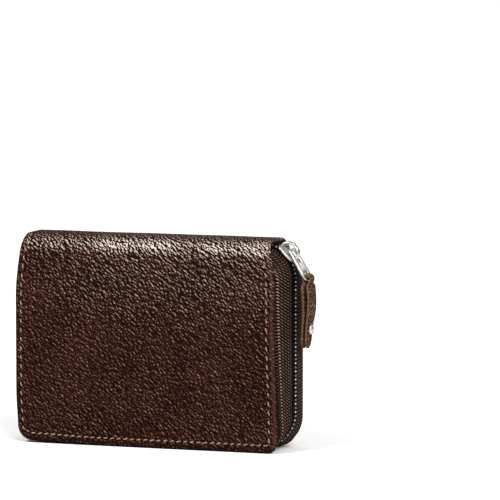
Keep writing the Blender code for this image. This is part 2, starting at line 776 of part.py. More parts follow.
def build_tab(body):
    """The folded leather tab, cut to its rounded shape, and its rivet."""
    strap = finished(
        "pull_tab_leather", prism(tab_outline(), -TAB_WIDTH, TAB_WIDTH, "Y"), tab_leather(), body
    )
    bar = link_bar()
    top = bar[1] + tab_loop_radius() + TAB_PLY_THICKNESS
    end = bar[1] + tab_loop_radius() - TAB_LENGTH
    half = TAB_WIDTH / 2
    rounding = TAB_END_RADIUS
    neck = TAB_NECK_WIDTH / 2
    shoulder = bar[1] - TAB_SHOULDER_DROP
    shape = [
        (neck, top),
        (neck, shoulder),
        (half, shoulder - TAB_SHOULDER_LENGTH),
        *arc((half - rounding, end + rounding), rounding, 0, -90, CORNER_STEPS),
        *arc((rounding - half, end + rounding), rounding, -90, -180, CORNER_STEPS),
        (-half, shoulder - TAB_SHOULDER_LENGTH),
        (-neck, shoulder),
        (-neck, top),
    ]
    reach = TAB_THICKNESS + tab_loop_radius()
    blank = prism(shape, bar[0] - reach, bar[0] + reach, "X")
    cut(strap, finished("pull_tab_shape", blank, tab_leather(), body), "INTERSECT")
    rivet_z = end + RIVET_HEIGHT
    bore = RIVET_SHANK_RADIUS + LAYER_GAP
    hole = rivet_rings(((-reach, bore), (reach, bore)), rivet_z)
    cut(strap, finished("pull_tab_hole", loft(hole), tab_leather(), body))
    inner = TAB_THICKNESS / 2 + LAYER_GAP
    outer = inner + RIVET_HEAD_HEIGHT
    dome = RIVET_HEAD_RADIUS / 2
    profile = (
        (-outer, dome),
        (-inner, RIVET_HEAD_RADIUS),
        (-inner, RIVET_SHANK_RADIUS),
        (inner, RIVET_SHANK_RADIUS),
        (inner, RIVET_HEAD_RADIUS),
        (outer, dome),
    )
    finished("pull_tab_rivet", loft(rivet_rings(profile, rivet_z)), nickel(), body)


def rivet_rings(profile, height):
    """Rings round the rivet's axis, which runs along x through the tab."""
    rings = []
    for along, radius in profile:
        ring = []
        for across, rise in arc((0, height), radius, 0, 360, ROUND_STEPS)[:-1]:
            ring.append((link_bar()[0] + along, across, rise))
        rings.append(ring)
    return rings


def main():
    clear_scene()
    bodies = build_bodies()
    covers = (("back", 1, 0.0, bodies["root"]), ("front", -1, 0.5, bodies["front"]))
    for label, side, phase_share, body in covers:
        build_cover_leather(label, side, body)
        build_cover_stitching(label, side, body)
        build_cover_inside(label, side, body)
        build_tape(label, side, body)
        build_chain(label, side, phase_share, body)
    build_spine(bodies["spine"])
    build_zip_end("right", 1, bodies["spine"])
    build_zip_end("left", -1, bodies["spine"])
    build_accordion(bodies)
    build_slider(bodies["slider"])
    build_link(bodies["link"])
    build_tab(bodies["tab"])


main()
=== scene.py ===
"""Looks of the zip-around card holder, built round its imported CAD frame.

Lengths are in metres. Points are given from the middle of the holder's lower edge: x along the
spine, the front cover at negative y, the spine on top. Every piece's object sits at that place.
"""

import math

import bmesh
import bpy
import numpy as np
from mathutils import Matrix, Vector


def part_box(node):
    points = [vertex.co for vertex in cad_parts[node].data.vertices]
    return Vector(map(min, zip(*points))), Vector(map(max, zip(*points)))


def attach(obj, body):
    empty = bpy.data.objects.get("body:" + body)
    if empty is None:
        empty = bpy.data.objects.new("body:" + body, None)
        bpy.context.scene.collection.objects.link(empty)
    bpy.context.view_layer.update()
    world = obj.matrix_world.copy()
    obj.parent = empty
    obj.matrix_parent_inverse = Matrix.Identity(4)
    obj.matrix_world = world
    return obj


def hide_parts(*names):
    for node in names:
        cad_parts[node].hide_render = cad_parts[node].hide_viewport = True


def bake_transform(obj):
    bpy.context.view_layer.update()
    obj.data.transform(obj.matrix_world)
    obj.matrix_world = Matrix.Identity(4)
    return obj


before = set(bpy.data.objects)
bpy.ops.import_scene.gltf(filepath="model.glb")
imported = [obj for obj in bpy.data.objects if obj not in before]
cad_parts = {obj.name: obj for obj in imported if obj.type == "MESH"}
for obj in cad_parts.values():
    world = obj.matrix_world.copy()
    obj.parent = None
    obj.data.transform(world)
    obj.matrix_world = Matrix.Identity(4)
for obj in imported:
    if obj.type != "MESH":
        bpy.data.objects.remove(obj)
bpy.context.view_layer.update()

MM = 0.001
WELD_REACH = 0.002 * MM
SLIVER_REACH = 0.001 * MM
SHARP_EDGE_DEG = 50.0

cover_low, cover_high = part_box("front_cover_leather")
CENTRE_X = (cover_low.x + cover_high.x) / 2
HALF_WIDTH = (cover_high.x - cover_low.x) / 2
HALF_DEPTH = -cover_low.y
HOLDER_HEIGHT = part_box("spine_leather")[1].z
SPINE_RADIUS = 0.007

# Leather skin
SKIN_THICKNESS = 0.0012
CORNER_RADIUS = 0.004
WORN_CORNER_RADIUS = 0.0055
WORN_LIFT = 0.0009
BACK_CORNER_RADIUS = 0.0075
SIDE_PULL = 0.0012
STITCH_INSET = 0.003
LEFT_STITCH_INSET = 0.0021
LEFT_BULGE = 0.0009
STITCH_PITCH = 0.0034
LOW_STITCH_PITCH = 0.0026
GROOVE_DEPTH = 0.0003
GROOVE_WIDTH = 0.00055
RIDGE_HEIGHT = 0.00014
CROWN = 0.0003
SPINE_END_TAPER = 0.0028

# Zip, as in the frame
ARC_X = 0.0415
ARC_Z = 0.0634
CHAIN_RADIUS = 0.012
CHAIN_OUT = 0.0025
CHAIN_LOW = 0.0018
TOOTH_PITCH = 0.003


def spots(*columns):
    """Points or places from their columns, each of which may be one number for all of them."""
    return np.stack(np.broadcast_arrays(*columns), -1)


def smooth_step(value, low, high):
    share = np.clip((value - low) / (high - low), 0, 1)
    return share * share * (3 - 2 * share)


def hump(value, middle, width):
    """1 at the middle, falling off smoothly to both sides."""
    return np.exp(-(((value - middle) / width) ** 2))


def squarish(value, power):
    """A cosine or sine bent towards a square's one, with its sign kept."""
    return np.sign(value) * np.abs(value) ** power


def unit(rows):
    return rows / np.linalg.norm(rows, axis=-1, keepdims=True)


def beside(line):
    """The unit normals to the left of a line in a plane."""
    tangent = unit(np.gradient(line, axis=0))
    return spots(-tangent[:, 1], tangent[:, 0])


def run_along(line):
    """How far each point lies along a line, from its first one."""
    return np.concatenate([[0], np.cumsum(np.linalg.norm(np.diff(line, axis=0), axis=1))])


def closer_at_ends(low, high, insets, count):
    """Places from low to high: at the insets from both ends, and evenly spaced in between."""
    middle = np.linspace(low + insets[-1], high - insets[-1], count)[1:-1]
    return np.concatenate([low + insets, middle, (high - insets)[::-1]])


def round_corners(x, up, x_half, radius):
    """Turns the square lower corners of a sheet into rounded ones, up being above its edge."""
    dx = np.clip(np.abs(x) - (x_half - radius), 0, None)
    dz = np.clip(radius - up, 0, None)
    far = np.hypot(dx, dz)
    share = np.where((dx > 0) & (dz > 0), np.maximum(dx, dz) / np.where(far > 0, far, 1), 1)
    x = np.where(dx > 0, np.sign(x) * (x_half - radius + dx * share), x)
    return x, np.where(dz > 0, radius - dz * share, up)


def stitch_places(corners, pitches, skipped=0.0):
    """Evenly spaced places on the lines between corners, and each line's direction."""
    corners = np.array(corners)
    for start, way, pitch in zip(corners, np.diff(corners, axis=0), pitches):
        length = np.linalg.norm(way)
        count = round((length - skipped) / pitch)
        for number in range(count):
            yield start + way * (number + 0.5) / count, way / length


def attribute(mesh, name, kind, values):
    field = mesh.attributes.new(name, kind, "POINT")
    key, width = ("vector", 3) if kind == "FLOAT_VECTOR" else ("value", 1)
    values = np.resize(np.asarray(values, np.float32), len(field.data) * width)
    field.data.foreach_set(key, values)


def add_object(name, data):
    made = bpy.data.objects.new(name, data)
    bpy.context.scene.collection.objects.link(made)
    return made


def add_piece(name, points, faces, finish, sheet=None, weld=True, **fields):
    """A smooth-shaded mesh piece. sheet holds each point's place on its flat material. It and the
    fields may be given for one face of a sheet, and then serve for its other face too."""
    mesh = bpy.data.meshes.new(name)
    mesh.from_pydata(points.tolist(), [], faces)
    attribute(mesh, "sheet", "FLOAT_VECTOR", points if sheet is None else sheet)
    for key, values in fields.items():
        attribute(mesh, key, "FLOAT", values)
    built = bmesh.new()
    built.from_mesh(mesh)
    if weld:
        bmesh.ops.remove_doubles(built, verts=built.verts, dist=WELD_REACH)
    bmesh.ops.dissolve_degenerate(built, edges=built.edges, dist=SLIVER_REACH)
    bmesh.ops.recalc_face_normals(built, faces=built.faces)
    built.to_mesh(mesh)
    built.free()
    mesh.shade_smooth()
    mesh.set_sharp_from_angle(angle=math.radians(SHARP_EDGE_DEG))
    mesh.materials.append(finish)
    made = add_object(name, mesh)
    made.location.x = CENTRE_X
    return made


def grid_faces(rows, columns, start=0, close_rows=False, close_columns=False):
    faces = []
    for i in range(rows if close_rows else rows - 1):
        for j in range(columns if close_columns else columns - 1):
            a, b = i * columns + j, i * columns + (j + 1) % columns
            c, d = (i + 1) % rows * columns + (j + 1) % columns, (i + 1) % rows * columns + j
            faces.append((start + a, start + b, start + c, start + d))
    return faces


def shell(outer, inner):
    """Points and faces of a closed sheet between two grids of the same size."""
    rows, columns = outer.shape[:2]
    points = np.concatenate([outer.reshape(-1, 3), inner.reshape(-1, 3)])
    offset = rows * columns
    faces = grid_faces(rows, columns)
    faces += [face[::-1] for face in grid_faces(rows, columns, offset)]
    rim = list(range(columns))
    rim += [i * columns + columns - 1 for i in range(1, rows)]
    rim += [(rows - 1) * columns + j for j in range(columns - 2, -1, -1)]
    rim += [i * columns for i in range(rows - 2, 0, -1)]
    faces += [(b, a, a + offset, b + offset) for a, b in zip(rim, rim[1:] + rim[:1])]
    return points, faces


class Group:
    """Gathers many small shapes into one mesh."""

    def __init__(self):
        self.points, self.faces, self.sheet, self.fields = [], [], [], {}
        self.count = 0

    def add(self, points, faces, sheet=None, **fields):
        self.faces += [tuple(i + self.count for i in face) for face in faces]
        self.points.append(points)
        self.sheet.append(points if sheet is None else np.resize(sheet, points.shape))
        for key, values in fields.items():
            self.fields.setdefault(key, []).append(np.resize(values, len(points)))
        self.count += len(points)

    def piece(self, name, finish):
        fields = {key: np.concatenate(rows) for key, rows in self.fields.items()}
        points, sheet = np.concatenate(self.points), np.concatenate(self.sheet)
        return add_piece(name, points, self.faces, finish, sheet, weld=False, **fields)


def rings_solid(rings, closed=False):
    """Points and faces of a lofted solid through rings of as many points each."""
    rings = np.asarray(rings, float)
    count, around = rings.shape[:2]
    faces = grid_faces(count, around, close_rows=closed, close_columns=True)
    if not closed:
        faces.append(tuple(range(around))[::-1])
        faces.append(tuple(range((count - 1) * around, count * around)))
    return rings.reshape(-1, 3), faces


def tube(path, radius, sides, up, closed=False, flat=1.0):
    """A round or flattened bar along a path. radius may be one number or one for each point."""
    if closed:
        along = unit(np.roll(path, -1, axis=0) - np.roll(path, 1, axis=0))
    else:
        along = unit(np.gradient(path, axis=0))
    side = unit(np.cross(along, up))
    rise = np.cross(side, along)
    angles = (np.arange(sides) * 2 * math.pi / sides)[:, None]
    spokes = side[:, None] * np.cos(angles) + flat * rise[:, None] * np.sin(angles)
    radii = np.broadcast_to(radius, len(path))[:, None, None]
    return rings_solid(path[:, None] + radii * spokes, closed)


# ---- Finishes ----

GRAIN_TURN_DEG = 42.0
GRAIN_SCATTER = 0.9
GRAIN_WARP = 0.0009
FLANK_REACH = 0.24
# The pale tone that the painted highlight strokes take on the spine's fold.
FOLD_HIGHLIGHT_TONE = (0.56, 0.48, 0.41)
# Near-black painted shade along the outer skin's left and lower edges.
EDGE_SHADE_TONE = (0.003, 0.0015, 0.0012)
THREAD_PLY = 0.00022
TAPE_RIB_PITCH = 0.00116
TAPE_STRIPE_PITCH = 0.00175
TAPE_FIRST_TURN = 0.0023
TAPE_TURN_STEP = 0.0058


class Nodes:
    """A material's or world's nodes, added one call at a time."""

    def __init__(self, made):
        made.use_nodes = True
        self.made, self.tree = made, made.node_tree

    def node(self, kind, *values, **settings):
        """A node with these settings, and the values put into its first inputs."""
        made = self.tree.nodes.new(kind)
        for key, value in settings.items():
            setattr(made, key, value)
        for socket, value in zip(made.inputs, values):
            self.put(socket, value)
        return made

    def put(self, socket, value):
        if isinstance(value, bpy.types.NodeSocket):
            self.tree.links.new(value, socket)
        elif isinstance(value, tuple) and socket.type == "RGBA":
            socket.default_value = (*value, 1.0)[:4]
        else:
            socket.default_value = value

    def field(self, name, output="Fac"):
        return self.node("ShaderNodeAttribute", attribute_name=name).outputs[output]

    def math(self, operation, *values, clamp=False):
        return self.node("ShaderNodeMath", *values, operation=operation, use_clamp=clamp).outputs[0]

    def add(self, first, second, clamp=False):
        return self.math("ADD", first, second, clamp=clamp)

    def less(self, first, second, clamp=False):
        return self.math("SUBTRACT", first, second, clamp=clamp)

    def times(self, first, second, clamp=False):
        return self.math("MULTIPLY", first, second, clamp=clamp)

    def vector(self, operation, *values):
        return self.node("ShaderNodeVectorMath", *values, operation=operation).outputs["Vector"]

    def scaled(self, vector, factor):
        made = self.node("ShaderNodeVectorMath", vector, operation="SCALE")
        made.inputs["Scale"].default_value = factor
        return made.outputs["Vector"]

    def parts(self, vector):
        return self.node("ShaderNodeSeparateXYZ", vector).outputs

    def placed(self, vector, turn_deg, size):
        """The vector in a pattern's own space, turned in the sheet's plane, one unit per size."""
        made = self.node("ShaderNodeMapping", vector, vector_type="TEXTURE")
        made.inputs["Rotation"].default_value = (0, 0, math.radians(turn_deg))
        made.inputs["Scale"].default_value = size
        return made.outputs[0]

    def noise(self, vector, scale, detail=2.0, rough=0.5):
        made = self.node("ShaderNodeTexNoise", vector)
        for key, value in (("Scale", scale), ("Detail", detail), ("Roughness", rough)):
            made.inputs[key].default_value = value
        return made.outputs

    def cells(self, vector, feature="F1"):
        """Scattered cells, about one unit wide."""
        made = self.node("ShaderNodeTexVoronoi", vector, feature=feature)
        made.inputs["Scale"].default_value = 1.0
        made.inputs["Randomness"].default_value = GRAIN_SCATTER
        return made.outputs

    def step(self, value, low, high, to_low=0.0, to_high=1.0):
        given = (value, low, high, to_low, to_high)
        return self.node("ShaderNodeMapRange", *given, interpolation_type="SMOOTHSTEP").outputs[0]

    def mix(self, share, first, second):
        made = self.node("ShaderNodeMix", share, data_type="RGBA")
        self.put(made.inputs[6], first)
        self.put(made.inputs[7], second)
        return made.outputs[2]

    def bump(self, height, distance):
        made = self.node("ShaderNodeBump")
        self.put(made.inputs["Height"], height)
        made.inputs["Distance"].default_value = distance
        made.inputs["Strength"].default_value = 1.0
        return made.outputs[0]

    def done(self, shader="Principled BSDF", **inputs):
        for key, value in inputs.items():
            self.put(self.tree.nodes[shader].inputs[key.replace("_", " ")], value)
        return self.made


class Finish(Nodes):
    """A material. space is the point that its patterns read."""

    def __init__(self, name, space="sheet"):
        super().__init__(bpy.data.materials.new(name))
        if space == "sheet":
            self.space = self.field("sheet", "Vector")
        else:
            self.space = self.node("ShaderNodeTexCoord").outputs["Object"]


def leather_finish(name, dark, light, crease_shade, crown, edge, grain=(0.00138, 0.00081),
                   depth=0.00032, low_rough=0.44, shine=1.0):
    """Pebbled leather: small domed grains parted by creases. Its colour holds painted light from
    one
    side: a painted highlight along one flank of each grain, painted shade on the other flank and in
    the creases, and a paler, wider highlight where the worn field is high. Its cut edges are bare,
    and a field paints shade along parts of its rim."""
    f = Finish(name)
    warp = f.vector("SUBTRACT", f.noise(f.space, 420.0)["Color"], (0.5, 0.5, 0.5))
    space = f.vector("ADD", f.space, f.scaled(warp, GRAIN_WARP))
    space = f.placed(space, GRAIN_TURN_DEG, (*grain, grain[1]))
    grains = f.cells(space)
    dome = f.less(1.0, grains["Distance"], clamp=True)
    pebble = f.step(f.cells(space, "DISTANCE_TO_EDGE")["Distance"], 0.02, 0.24)
    fine = f.noise(space, 2.6, 3.0, 0.6)["Fac"]
    height = f.add(f.times(pebble, 0.45), f.times(dome, 0.7))
    height = f.add(height, f.times(fine, 0.35))
    patch = f.step(f.noise(f.space, 55.0, 3.0, 0.6)["Fac"], 0.35, 0.68)
    # The relief compares each grain a little up and down one fixed slant, as light from that side
    # would; painted highlight and painted shade follow it.
    uphill, downhill = (f.cells(f.vector("ADD", space, (0.0, reach, 0.0)))["Distance"]
                        for reach in (FLANK_REACH, -FLANK_REACH))
    relief = f.less(downhill, uphill)
    # Painted shade: the flank facing away from that side and the creases between grains take the
    # third colour.
    pit_shade = f.math("MAXIMUM", f.step(relief, 0.02, -0.24), f.less(0.95, pebble, clamp=True))
    pit_shade = f.times(pit_shade, f.step(fine, 0.72, 0.36, 0.78, 1.0))
    tone = f.mix(pit_shade, f.mix(patch, dark, light), crease_shade)
    lucky = f.step(f.parts(grains["Color"])[0], 0.0, 1.0, 0.3, 1.0)
    # The worn field holds wear and painted highlight together, most on the spine's fold.
    worn = f.field("worn")
    sooner = f.times(worn, -0.18)
    # Painted highlight: strokes along the flank facing that side take the fourth colour, paler
    # where the worn field is high.
    painted_highlight = f.step(relief, f.add(sooner, 0.12), f.add(sooner, 0.40))
    painted_highlight = f.times(painted_highlight, f.add(lucky, worn, clamp=True))
    painted_highlight = f.times(painted_highlight, f.times(f.step(fine, 0.3, 0.6, 0.3, 1.0), shine))
    painted_highlight = f.times(painted_highlight, f.add(1.0, worn), clamp=True)
    tone = f.mix(painted_highlight, tone, f.mix(worn, crown, FOLD_HIGHLIGHT_TONE))
    rough = f.less(f.add(low_rough, f.times(pit_shade, 0.3)), f.times(painted_highlight, 0.1))
    # Bare cut edges; on the outer skin this field is instead a painted highlight on its right
    # edge's ridge.
    bare = f.times(f.field("edge"), f.step(fine, 0.34, 0.62, 0.35, 1.0))
    # Painted shade, near black, along the outer skin's left and lower edges.
    tone = f.mix(f.field("dyed"), f.mix(bare, tone, edge), EDGE_SHADE_TONE)
    rough = f.add(rough, f.times(bare, 0.2))
    return f.done(Base_Color=tone, Roughness=rough, Normal=f.bump(height, depth),
                  Specular_IOR_Level=0.02)


def thread_finish(name, dark, light):
    """Twisted thread: fine slanted plies, and patches where it is soiled."""
    f = Finish(name)
    run = f.placed(f.space, 35.0, (THREAD_PLY, THREAD_PLY, THREAD_PLY))
    ply = f.math("ABSOLUTE", f.math("SINE", f.times(f.parts(run)[0], math.pi)))
    soiled = f.step(f.noise(f.space, 900.0)["Fac"], 0.3, 0.7, 0.5, 1.0)
    tone = f.mix(f.times(ply, soiled), dark, light)
    return f.done(Base_Color=tone, Roughness=f.less(0.75, f.times(ply, 0.2)),
                  Normal=f.bump(ply, 0.00006), Specular_IOR_Level=0.2)


def tape_finish(name):
    """Herringbone zip tape: slanted ribs that turn back at lines along it, soiled in patches and
    dark at both its seams. The sheet's x runs across from the chain, its y along the zip."""
    f = Finish(name)
    across, along, _ = f.parts(f.space)
    fold = f.math("PINGPONG", f.add(across, -TAPE_FIRST_TURN), TAPE_TURN_STEP)
    wobble = f.times(f.noise(f.space, 500.0)["Fac"], 0.00030)
    slanted = f.add(f.add(along, wobble), f.times(fold, 0.62))
    wave = f.math("SINE", f.times(slanted, 2 * math.pi / TAPE_RIB_PITCH))
    stripe = f.math("SINE", f.times(f.add(across, -0.00066), 2 * math.pi / TAPE_STRIPE_PITCH))
    lifted = f.times(f.step(wave, -0.1, 0.75), f.step(stripe, -0.8, 0.8, 0.22, 1.0))
    soiled = f.step(f.noise(f.space, 260.0, 3.0)["Fac"], 0.3, 0.7, 0.65, 1.0)
    seams = f.times(f.step(across, 0.0004, 0.0016), f.step(across, 0.0100, 0.0090, 0.3, 1.0))
    from_turn = f.math("ABSOLUTE", f.add(across, -TAPE_FIRST_TURN - TAPE_TURN_STEP))
    peak = f.step(from_turn, 0.0011, 0.0004, 0.42, 1.0)
    share = f.times(f.times(lifted, f.times(soiled, seams)), peak)
    tone = f.mix(share, (0.0030, 0.0014, 0.0009), (0.35, 0.225, 0.160))
    return f.done(Base_Color=tone, Roughness=0.85, Normal=f.bump(lifted, 0.00018),
                  Specular_IOR_Level=0.03)


def chain_finish(name):
    """Dark shiny nylon, with a painted highlight on the outer side of each tooth's head."""
    f = Finish(name)
    specks = f.noise(f.space, 1500.0)["Fac"]
    # Painted highlight: the outer side of each tooth's head takes a pale tone.
    painted_glint = f.times(f.field("painted_glint"), f.step(specks, 0.2, 0.6, 0.7, 1.0))
    nylon = f.mix(specks, (0.0025, 0.0018, 0.0016), (0.006, 0.004, 0.0035))
    return f.done(Base_Color=f.mix(painted_glint, nylon, (0.44, 0.40, 0.38)),
                  Roughness=f.add(0.32, f.times(specks, 0.2)), Normal=f.bump(specks, 0.00003),
                  Specular_IOR_Level=0.04)


def lining_finish(name, dark, light, edge):
    """Matt suede-like lining with a fine nap, and a bare edge where it was cut."""
    f = Finish(name)
    nap = f.noise(f.placed(f.space, 20.0, (0.0011, 0.0006, 0.0006)), 1.0, 4.0, 0.65)["Fac"]
    patch = f.noise(f.space, 70.0, 3.0)["Fac"]
    share = f.step(f.add(f.times(nap, 0.6), f.times(patch, 0.4)), 0.3, 0.7)
    bare = f.times(f.field("edge"), f.step(nap, 0.2, 0.6, 0.7, 1.0))
    return f.done(Base_Color=f.mix(bare, f.mix(share, dark, light), edge), Roughness=0.82,
                  Normal=f.bump(nap, 0.00012), Specular_IOR_Level=0.15)


def board_finish(name):
    """Grey-brown pressed board with fibres."""
    f = Finish(name, "object")
    fibre = f.noise(f.placed(f.space, 10.0, (0.004, 0.0005, 0.0005)), 1.0, 5.0, 0.7)["Fac"]
    tone = f.mix(f.step(fibre, 0.3, 0.7), (0.20, 0.15, 0.10), (0.34, 0.27, 0.19))
    return f.done(Base_Color=tone, Roughness=0.9, Normal=f.bump(fibre, 0.00005))


def metal_finish(name):
    """Satin nickel with faint scratches and a few dull patches."""
    f = Finish(name)
    scratch = f.noise(f.placed(f.space, 30.0, (0.0035, 0.00030, 0.0006)), 1.0, 3.0, 0.6)["Fac"]
    patch = f.step(f.noise(f.space, 260.0, 3.0)["Fac"], 0.42, 0.72)
    rough = f.add(0.27, f.add(f.times(patch, 0.14), f.times(scratch, 0.08)))
    tone = f.mix(patch, (0.58, 0.57, 0.53), (0.40, 0.39, 0.355))
    return f.done(Base_Color=tone, Metallic=1.0, Roughness=rough, Normal=f.bump(scratch, 0.000012))


# Each leather's third colour is painted shade in its creases and shaded flanks, its fourth the
# painted highlight on its lit flanks; the outer leather's fifth is a painted highlight on its right
# edge.
OUTER = leather_finish("pebbled_outer_leather", (0.034, 0.0092, 0.0050), (0.062, 0.0185, 0.0110),
                       (0.0005, 0.0002, 0.0001), (0.175, 0.100, 0.076), (0.100, 0.044, 0.029))
INNER = leather_finish("pebbled_inner_leather", (0.085, 0.030, 0.018), (0.15, 0.058, 0.036),
                       (0.012, 0.005, 0.003), (0.27, 0.15, 0.105), (0.34, 0.21, 0.13),
                       grain=(0.0015, 0.0010), depth=0.00016, low_rough=0.5, shine=0.5)
TAB = leather_finish("soft_tab_leather", (0.070, 0.034, 0.018), (0.180, 0.092, 0.050),
                     (0.004, 0.0018, 0.0012), (0.44, 0.27, 0.165), (0.115, 0.062, 0.035),
                     grain=(0.0015, 0.0009), depth=0.00016, low_rough=0.55)
THREAD = thread_finish("waxed_thread", (0.12, 0.068, 0.046), (0.40, 0.27, 0.195))
TAPE = tape_finish("herringbone_tape")
CHAIN = chain_finish("nylon_chain")
LINING = lining_finish("dark_suede_lining", (0.012, 0.006, 0.004), (0.034, 0.018, 0.011),
                       (0.26, 0.150, 0.090))
BOARD = board_finish("pressed_board")
NICKEL = metal_finish("polished_nickel")

# ---- Outer leather ----

ARC_START = HOLDER_HEIGHT - SPINE_RADIUS
ARC_LENGTH = SPINE_RADIUS * math.pi / 2
SHEET_TOP = ARC_START + ARC_LENGTH + HALF_DEPTH - SPINE_RADIUS
SKIN_INSETS = np.array([
    0, 0.04, 0.12, 0.22, 0.36, 0.6, 0.9, 1.2, 1.45, 1.7, 1.95, 2.2, 2.4, 2.6, 2.8, 3.0,
    3.2, 3.4, 3.6, 3.8, 4.1, 4.5, 5.0, 5.7, 6.6, 7.8]) * MM
SKIN_WAIST = 0.062
EDGE_THINNING = 0.00035
STITCH_TOP = ARC_START + 0.0098
STITCH_SHARES = np.array([-1, -0.88, -0.6, 0, 0.6, 0.88, 1])
STITCH_DIPS = np.array([-0.46, -0.24, -0.04, 0.04, -0.04, -0.24, -0.46]) * MM
STITCH_RADII = np.array([0.12, 0.20, 0.24, 0.25, 0.24, 0.20, 0.12]) * MM
STITCH_RISE = 0.00020 - GROOVE_DEPTH
STITCH_SKEW = 0.24 * MM
STITCH_REACH = 0.86 * MM


def sheet_turn(run):
    """(y, z, y normal, z normal) of the front skin at a distance up from its lower edge."""
    angle = np.clip((run - ARC_START) / SPINE_RADIUS, 0, math.pi / 2)
    flat = np.clip(run - ARC_START - ARC_LENGTH, 0, None)
    y = -HALF_DEPTH + SPINE_RADIUS * (1 - np.cos(angle)) + flat
    z = np.minimum(run, ARC_START) + SPINE_RADIUS * np.sin(angle)
    return y, z, -np.cos(angle), np.sin(angle)


def narrowed_sheet(x, run):
    """The skin is narrower over the spine, bulges at its left and is pulled in by the zip at its
    right."""
    left = SPINE_END_TAPER * smooth_step(run, 0.055, 0.0835)
    left -= LEFT_BULGE * smooth_step(run, 0.002, 0.020)
    right = SPINE_END_TAPER * smooth_step(run, 0.062, 0.0835)
    right += SIDE_PULL * smooth_step(run, 0.008, 0.045)
    return x * (HALF_WIDTH - np.where(x < 0, left, right)) / HALF_WIDTH


def sheet_lift(inset, x, run):
    """How far the leather's face stands off its plain surface, inset being in from its edge."""
    rounding = SKIN_THICKNESS / 2
    left = np.clip(rounding - inset, 0, rounding)
    edge = np.sqrt(np.clip(rounding**2 - left**2, 0, None)) - rounding
    ridge = RIDGE_HEIGHT * hump(inset, 0.0017, 0.00075)
    on_left = (x < 0) & (HALF_WIDTH - np.abs(x) < run)
    seam = np.where(on_left, LEFT_STITCH_INSET, STITCH_INSET)
    groove = -GROOVE_DEPTH * hump(inset, seam, GROOVE_WIDTH)
    puff = 0.0001 * hump(inset, 0.0042, 0.0007)
    fade = 1 - smooth_step(run, ARC_START + 0.0072, ARC_START + 0.0105)
    crown = CROWN * (1 - (x / HALF_WIDTH) ** 2) * np.sin(np.clip(run / ARC_START, 0, 1) * math.pi)
    wave = 0.00007 * np.sin(x * 131 + run * 57) * np.sin(run * 109 - x * 38 + 1.1)
    wave = wave * smooth_step(inset, 0.004, 0.012)
    return edge + (ridge + groove + puff) * fade + crown + wave


def on_sheet(x, run, lift, side):
    """Points in space from places on the skin: side is -1 for the front, 1 for the back. The lower
    corners are worn at the left and rounder at the back's right, and the edge rises to the left."""
    right_radius = BACK_CORNER_RADIUS if side > 0 else CORNER_RADIUS
    radius = np.where(x < 0, WORN_CORNER_RADIUS, right_radius)
    x, run = round_corners(x, run, HALF_WIDTH, radius)
    worn = smooth_step(-x, HALF_WIDTH - 0.034, HALF_WIDTH) * np.clip(1 - run / 0.03, 0, 1) ** 2
    run = run + WORN_LIFT * worn
    x = narrowed_sheet(x, run)
    y, z, ny, nz = sheet_turn(run)
    return spots(x, -side * (y + ny * lift), z + nz * lift)


def skin_wear_and_highlight(x, run):
    """How much wear and painted highlight the skin gets: most on the spine's fold, some above it
    and on the upper cover, and less towards the left. Its pale strokes stand for light on the fold
    and the upper cover, with some wear on the fold."""
    fold = hump(run, ARC_START + 0.0042, 0.0030) * (0.62 + 0.26 * smooth_step(x, -0.050, -0.015))
    uneven = 0.72 + 0.28 * np.sin(x * 210 + 1.0) * np.sin(x * 83 + 0.4)
    top = 0.10 * smooth_step(run, ARC_START + 0.004, ARC_START + 0.009)
    upper = 0.24 * smooth_step(run, 0.036, 0.068) * (0.3 + 0.7 * smooth_step(x, -0.050, -0.005))
    return np.clip(fold * uneven + top + upper, 0, 1)


def skin_edge_shade(x, run, inset):
    """Painted shade on the skin's rim: along its left edge up to its top and along its lower edge,
    not its right, and less dark a little further up along its lower edge, like a contact shadow.
    """
    on_right = (x > 0) & (HALF_WIDTH - x < run)
    rim = np.where(on_right, 0, 0.85 * (1 - smooth_step(inset, 0.0004, 0.0009)))
    return np.maximum(rim, 0.45 * (1 - smooth_step(run, 0.0014, 0.0026)))


def build_skin(label, side):
    """One cover's leather and its half of the spine's, a sheet with a rounded and ridged edge."""
    across = closer_at_ends(-HALF_WIDTH, HALF_WIDTH, SKIN_INSETS, 62)
    upward = np.concatenate([SKIN_INSETS, np.linspace(SKIN_INSETS[-1], SKIN_WAIST, 38)[1:],
                             np.linspace(SKIN_WAIST, SHEET_TOP, 36)[1:]])
    run, x = np.meshgrid(upward, across, indexing="ij")
    inset = np.minimum(HALF_WIDTH - np.abs(x), run)
    left = np.clip(SKIN_THICKNESS / 2 - inset, 0, None)
    round_in = SKIN_THICKNESS / 2 - np.sqrt(np.clip((SKIN_THICKNESS / 2) ** 2 - left**2, 0, None))
    under = SKIN_THICKNESS - EDGE_THINNING * smooth_step(inset, 0.0045, 0.007)
    outer = on_sheet(x, run, sheet_lift(inset, x, run), side)
    inner = on_sheet(x, run, -under + round_in, side)
    flat = spots(x, -side * (SHEET_TOP - run), 0)
    # A painted highlight on the ridge of the right edge only; the left and lower edges get painted
    # shade.
    rim = np.where(x > 0, 0.5 * hump(HALF_WIDTH - x, 0.0008, 0.0006), 0)
    return add_piece(f"{label}_leather_skin", *shell(outer, inner), OUTER, flat,
                     worn=skin_wear_and_highlight(x, run), edge=rim, dyed=skin_edge_shade(x, run, inset))


